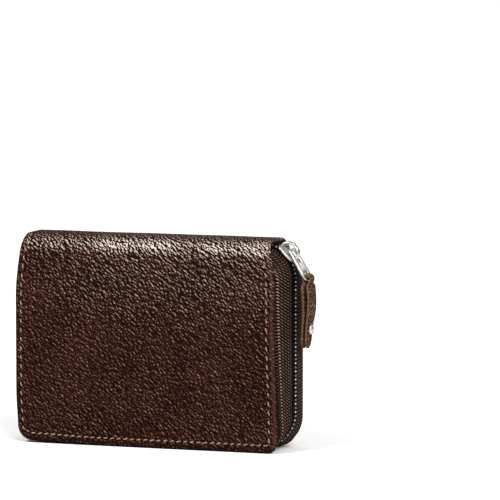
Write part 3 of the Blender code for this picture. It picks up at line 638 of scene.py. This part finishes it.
def build_stitches(label, side):
    """Each stitch is a short thread that lies a little askew and dips into its holes. They run
    from the left top to the right top, and are closer along the holder's lower edge."""
    group = Group()
    left, right = LEFT_STITCH_INSET - HALF_WIDTH, HALF_WIDTH - STITCH_INSET
    corners = (left, STITCH_TOP), (left, STITCH_INSET), (right, STITCH_INSET), (right, STITCH_TOP)
    pitches = STITCH_PITCH, LOW_STITCH_PITCH, STITCH_PITCH
    places = stitch_places(corners, pitches, CORNER_RADIUS - STITCH_INSET)
    for number, (place, along) in enumerate(places):
        across = np.array([-along[1], along[0]])
        skew = STITCH_SKEW * (1 + 0.25 * math.sin(number * 2.3))
        reach = STITCH_REACH * (1 + 0.05 * math.sin(number * 1.7))
        flat = place + STITCH_SHARES[:, None] * (along * reach + across * skew)
        path = on_sheet(flat[:, 0], flat[:, 1], STITCH_DIPS + STITCH_RISE, side)
        middle = flat[len(flat) // 2]
        normal = unit(on_sheet(*middle, MM, side) - on_sheet(*middle, 0.0, side))
        points, faces = tube(path, STITCH_RADII, 8, normal, flat=0.8)
        turned = spots(np.repeat(flat @ along, 8), np.repeat(flat @ across, 8), points[:, 1])
        group.add(points, faces, turned)
    return group.piece(f"{label}_stitches", THREAD)


def bend_with_cover(piece, side):
    """Bakes a piece's transform into its mesh, alike for either cover."""
    if side > 0:
        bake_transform(piece)
    else:
        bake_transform(piece)


for label, side in (("front", -1), ("back", 1)):
    skin = build_skin(label, side)
    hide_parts(f"{label}_cover_leather", *(["spine_leather"] if side < 0 else []))
    bend_with_cover(skin, side)
    stitches = build_stitches(label, side)
    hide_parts(f"{label}_cover_stitching")
    bend_with_cover(stitches, side)

# ---- Zip ----

SEAM_PLACE = 0.0102
TOP_ARC_DEG = 88.0
TIP_SHARE = 0.60
TAPE_HALF = 0.00026
CHAIN_MIDDLE_Z = 0.036
CORD_PLACE = 1.75 * MM
CORD_RADIUS = 0.42 * MM

# A tape's lines from its seam to the chain: how far each one runs out from the holder's side and
# above the floor, the radius of its lower corners, and its place in the holder's depth.
CHAIN_LINE = (CHAIN_OUT, CHAIN_LOW, CHAIN_RADIUS, 0.0019)
FRONT_TAPE_LINES = ((-0.005, 0.005, 0.0015, SEAM_PLACE), (-0.0012, 0.0012, 0.003, SEAM_PLACE),
                    (0.0003, 0.0013, 0.0060, 0.0080), (0.0016, 0.0015, 0.0090, 0.0052), CHAIN_LINE)
BACK_TAPE_LINES = ((-0.005, 0.005, 0.006, SEAM_PLACE), (-0.0012, 0.0010, 0.0075, SEAM_PLACE),
                   (0.0012, 0.0008, 0.0090, 0.0096), (0.0032, 0.0006, 0.0118, 0.0084),
                   (0.0029, 0.0007, 0.0118, 0.0050), CHAIN_LINE)

# A tooth's sections from its cord to its tip, in mm: place, half length and half height.
TOOTH_ROWS = ((2.15, 0.42, 0.50), (1.6, 0.50, 0.66), (1.0, 0.50, 0.74), (0.45, 0.56, 0.80),
              (0.0, 0.60, 0.80), (-0.22, 0.52, 0.70), (-0.36, 0.30, 0.42))


def zip_run(out, low, radius, tall=60, corner=14, wide=52, top=18):
    """Places along one line of the zip: in under the spine, down, along the floor and up again.
    Each row is x, z and how far the line has turned in under the spine, from 0 to 1."""
    edge = HALF_WIDTH + out
    reach = edge - ARC_X
    rows = []
    for share in np.linspace(1, 0, top + 1)[:-1]:
        angle = math.radians(TOP_ARC_DEG) * share
        rows.append((ARC_X + reach * math.cos(angle), ARC_Z + reach * math.sin(angle), share))
    rows += [(edge, z, 0) for z in np.linspace(ARC_Z, low + radius, tall + 1)[:-1]]
    for angle in np.linspace(0, math.pi / 2, corner + 1)[:-1]:
        x, z = edge - radius + radius * math.cos(angle), low + radius - radius * math.sin(angle)
        rows.append((x, z, 0))
    rows += [(x, low, 0) for x in np.linspace(edge - radius, 0, wide // 2 + 1)]
    rows = np.array(rows)
    return np.concatenate([rows, rows[-2::-1] * (-1, 1, 1)])


def narrowed(place, share):
    """The zip narrows where it goes in under the spine."""
    return place * (1 - (1 - TIP_SHARE) * share)


def rounded_off(points, times=3):
    """Chaikin's corner cutting, which keeps the ends."""
    for _ in range(times):
        made = [points[0]]
        for a, b in zip(points, points[1:]):
            made += [a * 0.75 + b * 0.25, a * 0.25 + b * 0.75]
        points = np.array(made[:1] + made[2:-2] + [points[-1]])
    return points


def build_tape(label, side):
    """Half of the tape, flat at the front and bulged at the back, where the holder is fuller."""
    lines = rounded_off(np.array(FRONT_TAPE_LINES if side < 0 else BACK_TAPE_LINES))
    x, z, share = np.moveaxis(np.array([zip_run(*line[:3]) for line in lines]), -1, 0)
    middle = spots(x, narrowed(lines[:, 3:], share), z)
    normal = unit(np.cross(np.gradient(middle, axis=0), np.gradient(middle, axis=1)))
    step = np.linalg.norm(np.diff(middle, axis=0), axis=-1)
    from_chain = np.concatenate([np.cumsum(step[::-1], axis=0)[::-1], np.zeros_like(step[:1])])
    along = np.stack([run_along(line) for line in middle])
    along -= along[:, along.shape[1] // 2][:, None]
    outer, inner = ((middle + normal * half) * (1, side, 1) for half in (TAPE_HALF, -TAPE_HALF))
    return add_piece(f"{label}_tape", *shell(outer, inner), TAPE, spots(from_chain, along, 0))


def along_chain(phase):
    """The teeth's places along the chain's line, its direction and its outward normal there."""
    line = zip_run(CHAIN_OUT, CHAIN_LOW, CHAIN_RADIUS, 120, 40, 120, 40)[:, :2]
    run = run_along(line)
    stops = np.arange(TOOTH_PITCH * (0.5 + phase), run[-1] - TOOTH_PITCH * 0.4, TOOTH_PITCH)
    behind, places, ahead = (spots(*(np.interp(stops + off, run, row) for row in line.T))
                             for off in (-0.0002, 0, 0.0002))
    direction = unit(ahead - behind)
    normal = spots(-direction[:, 1], direction[:, 0])
    normal *= np.sign(np.sum(normal * (places - (0, CHAIN_MIDDLE_Z)), -1))[:, None]
    return places, direction, normal


def tooth_head(place, direction, normal):
    """The round head of a tooth, in the middle of the chain, with a painted highlight on its outer
    side.
    """
    turns = np.arange(12) * math.pi / 6
    rings, painted_glint = [], []
    for tilt in np.radians([-60, -30, 0, 25, 50, 72]):
        wide, high = math.cos(tilt), 0.50 + 0.38 * math.sin(tilt)
        spot = place + direction * (0.46 * MM * wide * np.cos(turns))[:, None] + normal * high * MM
        rings.append(spots(spot[:, 0], 0.52 * MM * wide * np.sin(turns), spot[:, 1]))
        painted_glint.append(np.full(12, smooth_step(tilt, -0.2, 0.5)))
    return *rings_solid(rings), np.concatenate(painted_glint)


def build_chain(label, side, phase):
    """Half of the chain: a cord and moulded teeth that reach in between the other half's."""
    group = Group()
    angles = np.arange(8) * math.pi / 4 + math.pi / 8
    long, tall = (squarish(wave, 0.7)[:, None] * MM for wave in (np.cos(angles), np.sin(angles)))
    for place, direction, normal in zip(*along_chain(phase)):
        rings = []
        for y, half_long, half_tall in TOOTH_ROWS:
            spot = place + direction * half_long * long + normal * half_tall * tall
            rings.append(spots(spot[:, 0], side * y * MM, spot[:, 1]))
        group.add(*rings_solid(rings), painted_glint=0.0)
        points, faces, painted_glint = tooth_head(place, direction, normal)
        group.add(points, faces, painted_glint=painted_glint)
    rows = zip_run(CHAIN_OUT, CHAIN_LOW, CHAIN_RADIUS)
    cord = spots(rows[:, 0], side * CORD_PLACE, rows[:, 1])
    group.add(*tube(cord, CORD_RADIUS, 8, (0, 1, 0)), painted_glint=0.0)
    return group.piece(f"{label}_teeth", CHAIN)


for label, side, phase in (("front", -1, 0.5), ("back", 1, 0.0)):
    tape = build_tape(label, side)
    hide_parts(f"{label}_zip_tape", "zip_end_left" if side > 0 else "zip_end_right")
    bend_with_cover(tape, side)
    teeth = build_chain(label, side, phase)
    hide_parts(f"{label}_zip_chain")
    bend_with_cover(teeth, side)

# ---- Slider and pull ----

SLIDER_TURN = math.radians(45.0)
PLATE_LOW = 0.00105
PLATE_TOP = 0.00165
PLATE_FLOOR = -0.0017
FLOOR_PLATE = 0.0006
PLATE_LIP = 0.00035
POST_PLACE = 0.0024
POST_SUNK = 0.0002
ARCH_REACH = 0.0036
ARCH_OFFSET = -0.0003
ARCH_HALF_WIDTH = 0.00145
ARCH_HALF_THICKNESS = 0.00048
ARCH_GROOVE = 0.00022
PIN_ALONG = -0.0005
PIN_RISE = 0.0034
BAR_REACH = 0.0062
BAR_DROP = 0.0103
BAR_RADIUS = 0.0006
LINK_HALF = 0.0031
LINK_CORNER = 0.0011
LINK_STEP = 0.0009
WIRE_RADIUS = 0.00064
WIRE_SWELL = 0.00036
WIRE_FLATNESS = 0.78
CROSS_PLATE_DOWN = 0.0073
CROSS_PLATE_HALF = 0.0024
CROSS_PLATE_THICKNESS = 0.00052
TAB_LENGTH = 0.027
TAB_HALF_WIDTH = 0.0043
TAB_NECK_HALF = 0.0021
TAB_TAPER = 0.0014
TAB_END_RADIUS = 0.0030
PLY = 0.0011
PLY_GAP = 0.0004
LOOP_RADIUS = BAR_RADIUS + 0.0003 + PLY / 2
RIVET_UP = 0.007
ACROSS = np.array([0, 1.0, 0])

# The rivet's head from its middle to its foot, in mm: place along the shank and radius.
RIVET_HEAD = ((-0.52, 0.1), (-0.50, 0.5), (-0.40, 0.82), (-0.34, 1.00), (-0.48, 1.22),
              (-0.44, 1.48), (-0.20, 1.72), (0.04, 1.80), (0.2, 1.6), (0.3, 0.6))


def on_slider(along, across, rise):
    """A point from its distances along the parked slider, across it and out from the chain."""
    c, s = math.cos(SLIDER_TURN), math.sin(SLIDER_TURN)
    x = ARC_X + CHAIN_RADIUS * c - along * s + rise * c
    z = ARC_Z + CHAIN_RADIUS * s + along * c + rise * s
    return spots(x, across, z)


def slider_outline(count=48):
    """The slider seen from above: wide round shoulders over the post, narrower at its open end."""
    angles = np.arange(count) * 2 * math.pi / count
    along = 0.0038 * squarish(np.cos(angles), 0.62)
    half = 0.0030 + 0.0006 * smooth_step(along, -0.003, 0.0028)
    return along, half * squarish(np.sin(angles), 0.55)


def plate(group, low, high, lip=0.0):
    """A plate with rounded edges, its rim turned towards the chain by lip."""
    along, across = slider_outline()
    rounding = min(0.00022, (high - low) * 0.45)
    rows = [(0.001, low), (0.55, low), (0.93, low - lip), (0.97, low - lip),
            (1.0, low + rounding - lip), (1.0, high - rounding), (0.975, high - rounding * 0.3),
            (0.93, high), (0.6, high + 0.00012), (0.001, high + 0.00016)]
    rings = [on_slider(along * share, across * share, rise) for share, rise in rows]
    group.add(*rings_solid(rings))


def build_slider():
    """Two plates joined by a post."""
    group = Group()
    plate(group, PLATE_LOW, PLATE_TOP, PLATE_LIP)
    plate(group, PLATE_FLOOR - FLOOR_PLATE, PLATE_FLOOR)
    angles = np.arange(16) * math.pi / 8
    post = [on_slider(POST_PLACE + 0.0008 * np.cos(angles), 0.0005 * np.sin(angles), rise)
            for rise in (PLATE_FLOOR - POST_SUNK, PLATE_LOW + POST_SUNK)]
    group.add(*rings_solid(post))
    return group.piece("slider_shell", NICKEL)


def build_bridge():
    """A cast arch, grooved along its back, standing on the slider's plate."""
    turns = np.arange(20) * 2 * math.pi / 20
    rings = []
    for angle in np.linspace(0, math.pi, 29):
        lean, bend = math.cos(angle), math.sin(angle)
        across = squarish(np.cos(turns), 0.7) * (ARCH_HALF_WIDTH - 0.0003 * bend)
        out = squarish(np.sin(turns), 0.7) * (ARCH_HALF_THICKNESS + 0.00012 * abs(lean))
        out = np.where(out > 0, out - ARCH_GROOVE * hump(across, 0, 0.00035) * bend, out)
        rise = PLATE_TOP + 0.0001 + ARCH_REACH * bend**0.75
        along = ARCH_REACH * lean + ARCH_OFFSET
        rings.append(on_slider(along + lean * out, across, rise + bend * out))
    return add_piece("slider_arch", *rings_solid(rings), NICKEL)


PIN = on_slider(PIN_ALONG, 0.0, PIN_RISE)
BAR = PIN + np.array([BAR_REACH, 0, -BAR_DROP])


def link_path(length):
    """The link's middle line, a rectangle with round corners: across it and down from the pin."""
    r = LINK_CORNER
    wide, low = LINK_HALF - r, length - r
    flat = []
    for across, along, start in ((wide, r, -90), (wide, low, 0), (-wide, low, 90), (-wide, r, 180)):
        for turn in np.radians(np.linspace(start, start + 90, 8)):
            flat.append((across + r * math.cos(turn), along + r * math.sin(turn)))
    path = []
    for (a, b), (c, d) in zip(flat, flat[1:] + flat[:1]):
        count = max(1, int(math.hypot(c - a, d - b) / LINK_STEP))
        path += [(a + (c - a) * k / count, b + (d - b) * k / count) for k in range(count)]
    return np.array(path)


def build_link():
    """A rectangular ring of flattened wire with a cross plate above the tab's loop."""
    length = np.linalg.norm(BAR - PIN)
    down = (BAR - PIN) / length
    facing = np.cross(down, ACROSS)
    path = link_path(length)
    swell = smooth_step(np.abs(path[:, 0]), LINK_HALF - 0.0006, LINK_HALF)
    swell *= smooth_step(path[:, 1], 0.001, 0.004)
    swell *= 1 - smooth_step(path[:, 1], length - 0.002, length - 0.0006)
    group = Group()
    points = PIN + path[:, 1:] * down + path[:, :1] * ACROSS
    radii = WIRE_RADIUS + WIRE_SWELL * swell
    group.add(*tube(points, radii, 14, facing, closed=True, flat=WIRE_FLATNESS))
    turns = np.arange(24) * math.pi / 12
    wide = squarish(np.cos(turns), 0.3)[:, None] * LINK_HALF * ACROSS
    thick = squarish(np.sin(turns), 0.8)[:, None] * CROSS_PLATE_THICKNESS * unit(facing)
    rings = []
    for share in (-1, -0.9, -0.6, 0, 0.6, 0.9, 1):
        place = PIN + (CROSS_PLATE_DOWN + CROSS_PLATE_HALF * share) * down
        rings.append(place + wide + (1 - 0.5 * abs(share) ** 6) * thick)
    group.add(*rings_solid(rings))
    return group.piece("pull_ring", NICKEL)


def tab_half_width(down):
    """Half the tab's width at a distance below the link's bar."""
    shoulder = smooth_step(down, 0.0009, 0.0030)
    full = TAB_NECK_HALF + (TAB_HALF_WIDTH - TAB_NECK_HALF) * shoulder
    full = full - TAB_TAPER * smooth_step(down, 0.010, 0.025)
    past = np.clip(down - (TAB_LENGTH - 0.0015 - TAB_END_RADIUS), 0, TAB_END_RADIUS)
    return full - (TAB_END_RADIUS - np.sqrt(np.clip(TAB_END_RADIUS**2 - past**2, 0, None)))


def tab_bow(down):
    """The hanging tab is bowed: out below its shoulders, in towards the zip at its end."""
    down = np.clip(down, 0, None)
    belly = 0.0007 * np.sin(np.clip(down / 0.017, 0, 1) * math.pi)
    return belly - 0.0009 * smooth_step(down, 0.011, 0.028)


def ply_spread(down):
    """How far the inner ply stands off the outer one between the link's bar and the rivet."""
    return 0.0006 * smooth_step(down, 0.0, 0.003) * (1 - smooth_step(down, 0.006, 0.018))


def tab_line():
    """The strip's middle line, up one ply, round the link's bar and down the other: how far it
    lies out from the bar and above it."""
    half_gap = (PLY + PLY_GAP) / 2
    neck = math.asin(half_gap / LOOP_RADIUS)
    arc = [(LOOP_RADIUS * math.cos(a), LOOP_RADIUS * math.sin(a))
           for a in np.linspace(neck - math.pi / 2, 1.5 * math.pi - neck, 26)]
    ply = [(half_gap, h) for h in np.linspace(LOOP_RADIUS - TAB_LENGTH, arc[0][1], 46)[:-1]]
    return np.array(ply + arc + [(-x, h) for x, h in ply[::-1]])


def build_tab():
    """One strip of leather, folded round the link's bar, its cut edges bare."""
    line = tab_line()
    low = TAB_LENGTH - LOOP_RADIUS
    down = np.clip(-line[:, 1], 0, None)
    width = np.maximum(tab_half_width(down), 0.0004)
    thin = 1 - 0.25 * smooth_step(down, low - 0.0016, low)
    bow = tab_bow(down) - np.where(line[:, 0] < 0, ply_spread(down), 0)
    turns = np.linspace(0, 2 * math.pi, 37)[:-1]
    wide, thick = squarish(np.cos(turns), 0.35), squarish(np.sin(turns), 0.5) * PLY / 2
    across = width[:, None] * wide
    spot = line[:, None] - beside(line)[:, None] * (thin[:, None] * thick)[..., None]
    rings = spots(BAR[0] + bow[:, None] + spot[..., 0], across, BAR[2] + spot[..., 1])
    sheet = spots(across, run_along(line)[:, None], thick)
    edge = np.tile(smooth_step(np.abs(wide), 0.9, 0.99), len(line))
    return add_piece("pull_strap", *rings_solid(rings), TAB, sheet, edge=edge)


def build_rivet():
    """Two domed heads on a shank, each with a raised rim."""
    angles = np.arange(28) * 2 * math.pi / 28
    height = BAR[2] + LOOP_RADIUS - TAB_LENGTH + RIVET_UP
    centre = BAR[0] + float(tab_bow(BAR[2] - height))
    face = PLY + PLY_GAP / 2 + 0.00012
    head = np.array(RIVET_HEAD) * MM
    rows = [(-face + x * 0.5, radius) for x, radius in head]
    rows += [(face - x * 1.9, radius * 1.08) for x, radius in head[::-1]]
    round_y, round_z = np.cos(angles), np.sin(angles)
    rings = [spots(centre + x, radius * round_y, height + radius * round_z) for x, radius in rows]
    group = Group()
    group.add(*rings_solid(rings))
    return group.piece("pull_stud", NICKEL)


for piece, body, node, slot in (
    (build_slider(), "slider", "slider_body", "nickel"),
    (build_bridge(), "slider", "slider_bridge", "nickel"),
    (build_link(), "pull_link", "pull_link", "nickel"),
    (build_tab(), "pull_tab", "pull_tab_leather", "tab_leather"),
    (build_rivet(), "pull_tab", "pull_tab_rivet", "nickel"),
):
    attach(piece, body)
    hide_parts(node)

# ---- Inside ----

LINING_FAR = 0.0096
LINING_NEAR = 0.0090
LINING_HALF_WIDTH = 0.049
LINING_LOW = 0.002
LINING_TOP = 0.0694
SLIP_FAR = 0.0087
SLIP_NEAR = 0.0080
SLIP_HALF_WIDTH = 0.044
SLIP_LOW = 0.009
SLIP_TOP = 0.063
SLIP_RADIUS = 0.0025
SLIP_SEAM = 0.0022
SLIP_SEAM_DEPTH = 0.00012
SLIP_STITCH_PITCH = 0.0029
SLIP_STITCH_SHARES = np.array([-1, -0.7, 0, 0.7, 1]) * 1.1 * MM
SLIP_STITCH_DIPS = np.array([0.3, 0.02, -0.08, 0.02, 0.3]) * MM
SLIP_STITCH_RADII = np.array([0.14, 0.22, 0.24, 0.22, 0.14]) * MM
PLATE_INSETS = np.array([0, 0.05, 0.15, 0.3, 0.6, 1.0, 1.6, 2.4, 3.2, 4.2]) * MM
LEAF_COUNT = 10
LEAF_HALF = 0.035
LEAF_THICKNESS = 0.0007
LEAF_RADIUS = 0.0008
END_LEAF = 0.0071
LEAF_PITCH = 2 * END_LEAF / (LEAF_COUNT - 1)
MOUTH = 0.0109
LEAF_TOP = 0.0709
ROOT = 0.0712
GUSSET_DEPTH = 0.011
GUSSET_PLY = 0.00008
GUSSET_GAP = 0.0001
GUSSET_OVERLAP = 0.0001
GUSSET_TIP = 0.0004
GUSSET_TIP_SHARE = 0.18
ROOT_OVERHANG = 0.005
SPINE_LINING_HALF_WIDTH = 0.045
SPINE_LINING_THICKNESS = 0.0005
SPINE_LINING_Y = 0.0105
SPINE_LINING_LOW = 0.0705
SPINE_LINING_CORNER = (0.005, 0.071, 0.0055)


def leaf_y(number):
    return END_LEAF - LEAF_PITCH * number


def carrier(number):
    return "back_cover" if number == 0 else f"leaf_{number}"


def rounded_plate(x_half, low, high, radius, near, far, side, lift=None, cells=(60, 46)):
    """A thin sheet with rounded lower corners and soft edges, facing the middle of the holder.
    lift raises its face from the distances in from its edge, along x and up."""
    across = closer_at_ends(-x_half, x_half, PLATE_INSETS, cells[0])
    z, x = np.meshgrid(closer_at_ends(low, high, PLATE_INSETS, cells[1]), across, indexing="ij")
    inset = np.minimum(np.minimum(x_half - np.abs(x), z - low), high - z)
    x, up = round_corners(x, z - low, x_half, radius)
    z = low + up
    middle, half = (near + far) / 2, (far - near) / 2
    bull = np.sqrt(np.clip(1 - np.clip((half - inset) / half, 0, 1) ** 2, 0, 1)) * half
    raised = 0 if lift is None else lift(inset, x, z)
    outer, inner = spots(x, side * (middle - bull - raised), z), spots(x, side * (middle + bull), z)
    points, faces = shell(outer, inner)
    return points, faces, spots(x, z, 0), np.resize(inset, len(points))


def lining_lift(inset, x, z):
    """The lining's slight unevenness."""
    return 0.00005 * np.sin(x * 90 + z * 40) * np.sin(z * 120)


def build_lining(label, side, body):
    points, faces, flat, _ = rounded_plate(LINING_HALF_WIDTH, LINING_LOW, LINING_TOP, CORNER_RADIUS,
                                           LINING_NEAR, LINING_FAR, side, lining_lift)
    piece = add_piece(f"{label}_inner_lining", points, faces, LINING, flat, edge=0.0)
    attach(piece, body)
    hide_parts(f"{label}_cover_lining")


def slip_lift(inset, x, z):
    """The slip panel swells inside its seam, and its mouth has a raised rim."""
    from_side = np.minimum(SLIP_HALF_WIDTH - np.abs(x), SLIP_TOP - z)
    swell = 0.00018 * smooth_step(inset, 0.003, 0.012)
    mouth = 0.00012 * hump(z, SLIP_LOW + 0.0012, 0.0006)
    return swell + mouth - SLIP_SEAM_DEPTH * hump(from_side, SLIP_SEAM, 0.0005)


def slip_stitches(side):
    """Stitches up one side of the slip panel, along its top and down its other side."""
    group = Group()
    line, top, foot = SLIP_HALF_WIDTH - SLIP_SEAM, SLIP_TOP - SLIP_SEAM, SLIP_LOW + 0.001
    corners = (-line, foot), (-line, top), (line, top), (line, foot)
    y = side * (SLIP_STITCH_DIPS + SLIP_NEAR - SLIP_SEAM_DEPTH)
    for spot, along in stitch_places(corners, [SLIP_STITCH_PITCH] * 3):
        flat = spot + SLIP_STITCH_SHARES[:, None] * along
        path = spots(flat[:, 0], y, flat[:, 1])
        group.add(*tube(path, SLIP_STITCH_RADII, 6, (0, side, 0)))
    return group


def build_slip_pocket(label, side, body):
    """A pebbled panel, its mouth along the zip's long side turned and left open."""
    points, faces, flat, inset = rounded_plate(SLIP_HALF_WIDTH, SLIP_LOW, SLIP_TOP, SLIP_RADIUS,
                                               SLIP_NEAR, SLIP_FAR, side, slip_lift)
    cut = smooth_step(-inset, -0.0004, -0.0001)
    cut *= smooth_step(-points[:, 2], -SLIP_LOW - 0.002, -SLIP_LOW - 0.0005)
    panel = add_piece(f"{label}_slip_panel", points, faces, INNER, flat, edge=cut)
    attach(panel, body)
    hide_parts(f"{label}_slip_pocket")
    stitches = slip_stitches(side).piece(f"{label}_slip_stitches", THREAD)
    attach(stitches, body)


def build_leaf(number):
    """A stiff divider covered in dark lining, with a bare cut edge at the pocket's mouth."""
    ends = {0: "back_pocket_leaf", LEAF_COUNT - 1: "front_pocket_leaf"}
    name = ends.get(number, f"divider_{number}")
    near, far = leaf_y(number) - LEAF_THICKNESS / 2, leaf_y(number) + LEAF_THICKNESS / 2
    points, faces, flat, _ = rounded_plate(LEAF_HALF, MOUTH, LEAF_TOP, LEAF_RADIUS, near, far, 1,
                                           cells=(30, 26))
    edge = smooth_step(-points[:, 2], -MOUTH - 0.00075, -MOUTH - 0.0003)
    leaf = add_piece(f"{name}_board", points, faces, LINING, flat, edge=edge)
    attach(leaf, carrier(number))
    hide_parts(name)


def folded_side(back, front, hand):
    """The middle line of one outward fold, in x and y, with a soft tip."""
    start, tip = LEAF_HALF - GUSSET_OVERLAP, LEAF_HALF + GUSSET_DEPTH - GUSSET_TIP
    middle, reach = (back + front) / 2, (back - front) / 2
    flank = [(start + (tip - start) * share, reach * (1 - share * (1 - GUSSET_TIP_SHARE)))
             for share in np.linspace(0, 1, 9)[:-1]]
    rows = [(x, middle + y) for x, y in flank]
    for turn in np.linspace(math.pi / 2, -math.pi / 2, 7):
        rows.append((tip + GUSSET_TIP * math.cos(turn),
                     middle + reach * GUSSET_TIP_SHARE * math.sin(turn)))
    rows += [(x, middle - y) for x, y in flank[::-1]]
    return np.array(rows) * (hand, 1)


def build_gusset(number):
    """The folded sides of one pocket, and the strip that closes its root."""
    back = leaf_y(number - 1) - LEAF_THICKNESS / 2 - GUSSET_GAP
    front = leaf_y(number) + LEAF_THICKNESS / 2 + GUSSET_GAP
    group = Group()
    heights = np.concatenate([MOUTH + np.array([0, 0.0001, 0.0004, 0.0008]),
                              np.linspace(MOUTH + 0.003, ROOT, 22)])
    half = np.full(len(heights), GUSSET_PLY / 2)
    half[0] *= 0.5
    for hand in (1, -1):
        line = folded_side(back, front, hand)
        out = beside(line) * half[:, None, None]
        outer, inner = (spots(rows[..., 0], rows[..., 1], heights[:, None])
                        for rows in (line + out, line - out))
        points, faces = shell(outer, inner)
        flat = spots(run_along(line), heights[:, None], hand * 0.1 + number * 0.2)
        edge = smooth_step(-points[:, 2], -MOUTH - 0.0008, -MOUTH - 0.0003)
        group.add(points, faces, flat, edge=edge)
    middle, reach = (back + front) / 2, LEAF_HALF + ROOT_OVERHANG
    ring = np.array([(back, 0.0001), (middle, 0.00028), (front, 0.0001),
                     (front, 0.0004), (middle, 0.0006), (back, 0.0004)]) + (0, ROOT)
    xs = np.linspace(-reach, reach, 40)[:, None]
    group.add(*rings_solid(spots(xs, *ring.T)), edge=0.0)
    piece = group.piece(f"pocket_{number}_fold", LINING)
    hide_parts(f"pocket_{number}_gusset")
    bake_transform(piece)


def build_spine_lining():
    """Lining under the spine leather, rounded with it."""
    y, z, radius = SPINE_LINING_CORNER
    angles = np.linspace(0, math.pi / 2, 14)
    half = np.array([(SPINE_LINING_Y, SPINE_LINING_LOW)]
                    + [(y + radius * math.cos(a), z + radius * math.sin(a)) for a in angles])
    line = np.concatenate([half, half[::-1] * (-1, 1)])
    inward = beside(line)
    inward *= -np.sign(inward[len(line) // 2, 1])
    xs = np.linspace(-SPINE_LINING_HALF_WIDTH, SPINE_LINING_HALF_WIDTH, 60)[:, None]
    inner_line = line + inward * SPINE_LINING_THICKNESS
    solid = shell(spots(xs, *line.T), spots(xs, *inner_line.T))
    piece = add_piece("spine_inner_lining", *solid, LINING, edge=0.0)
    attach(piece, "spine")
    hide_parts("spine_lining")


for label, side, body in (("front", -1, "front_cover"), ("back", 1, "back_cover")):
    build_lining(label, side, body)
    build_slip_pocket(label, side, body)
    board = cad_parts[f"{label}_cover_board"]
    board.data.materials.clear()
    board.data.materials.append(BOARD)
for number in range(LEAF_COUNT):
    build_leaf(number)
for number in range(1, LEAF_COUNT):
    build_gusset(number)
build_spine_lining()

# ---- Stage ----

FLOOR_REACH = 60.0
SUN_TOWARDS = (0.55, -0.60, 0.60)
LIT_MIDDLE = (0.0, 0.0, 0.06)
VIEW_TURN_DEG = 19.8
VIEW_RISE_DEG = 5.4
VIEW_DISTANCE = 1.83
AIM_RIGHT = 0.0311
AIM_UP = 0.0721
LENS_MM = 355.4


def build_stage():
    f = Finish("pale_floor", "object")
    tone = f.mix(f.noise(f.space, 30.0, 3.0)["Fac"], (0.86, 0.86, 0.86), (0.90, 0.90, 0.90))
    mesh = bpy.data.meshes.new("floor")
    angles = np.arange(64) * 2 * math.pi / 64
    ring = [(FLOOR_REACH * math.cos(a), FLOOR_REACH * math.sin(a), 0) for a in angles]
    mesh.from_pydata(ring, [], [tuple(range(64))])
    mesh.materials.append(f.done(Base_Color=tone, Roughness=0.7, Specular_IOR_Level=0.2))
    add_object("floor", mesh)


def add_softbox(name, place, size, power):
    lamp = bpy.data.lights.new(name, "AREA")
    lamp.shape = "RECTANGLE"
    lamp.size, lamp.size_y = size
    lamp.energy = power
    made = add_object(name, lamp)
    made.location = place
    made.rotation_euler = (Vector(LIT_MIDDLE) - Vector(place)).to_track_quat("-Z", "Y").to_euler()


def build_world():
    """A pale room, darker towards its horizon, with a white wall for the camera alone."""
    n = Nodes(bpy.data.worlds.new("studio"))
    height = n.parts(n.node("ShaderNodeTexCoord").outputs["Generated"])["Z"]
    seen = n.node("ShaderNodeLightPath").outputs["Is Camera Ray"]
    power = n.math("MAXIMUM", n.step(height, 0.2, 0.8, 0.10, 0.85), seen)
    bpy.context.scene.world = n.done("Background", Color=(1.0, 1.0, 1.0), Strength=power)


def build_lights():
    """A wide soft sun from the upper right, a softbox above for the spine's fold, and one behind
    at the right that the pull's metal mirrors."""
    sun = bpy.data.lights.new("wide_sun", "SUN")
    sun.energy = 3.1
    sun.angle = math.radians(28.0)
    made = add_object("wide_sun", sun)
    made.rotation_euler = Vector(SUN_TOWARDS).to_track_quat("Z", "Y").to_euler()
    add_softbox("ridge_softbox", (-0.32, -0.55, 0.85), (0.22, 0.14), 7.0)
    add_softbox("pull_softbox", (0.20, 0.70, 0.26), (0.16, 0.12), 0.22)


def build_camera():
    """The photograph's view, from far off, with the holder lower left of the middle."""
    turn, rise = math.radians(VIEW_TURN_DEG), math.radians(VIEW_RISE_DEG)
    back = Vector((math.sin(turn) * math.cos(rise), -math.cos(turn) * math.cos(rise),
                   math.sin(rise)))
    right = Vector((math.cos(turn), math.sin(turn), 0))
    data = bpy.data.cameras.new("camera")
    data.sensor_width = 36.0
    data.lens = LENS_MM
    camera = add_object("camera", data)
    camera.location = right * AIM_RIGHT + back.cross(right) * AIM_UP + back * VIEW_DISTANCE
    camera.rotation_euler = (-back).to_track_quat("-Z", "Y").to_euler()
    bpy.context.scene.camera = camera


build_stage()
build_world()
build_lights()
build_camera()
bpy.context.scene.view_settings.view_transform = "Standard"
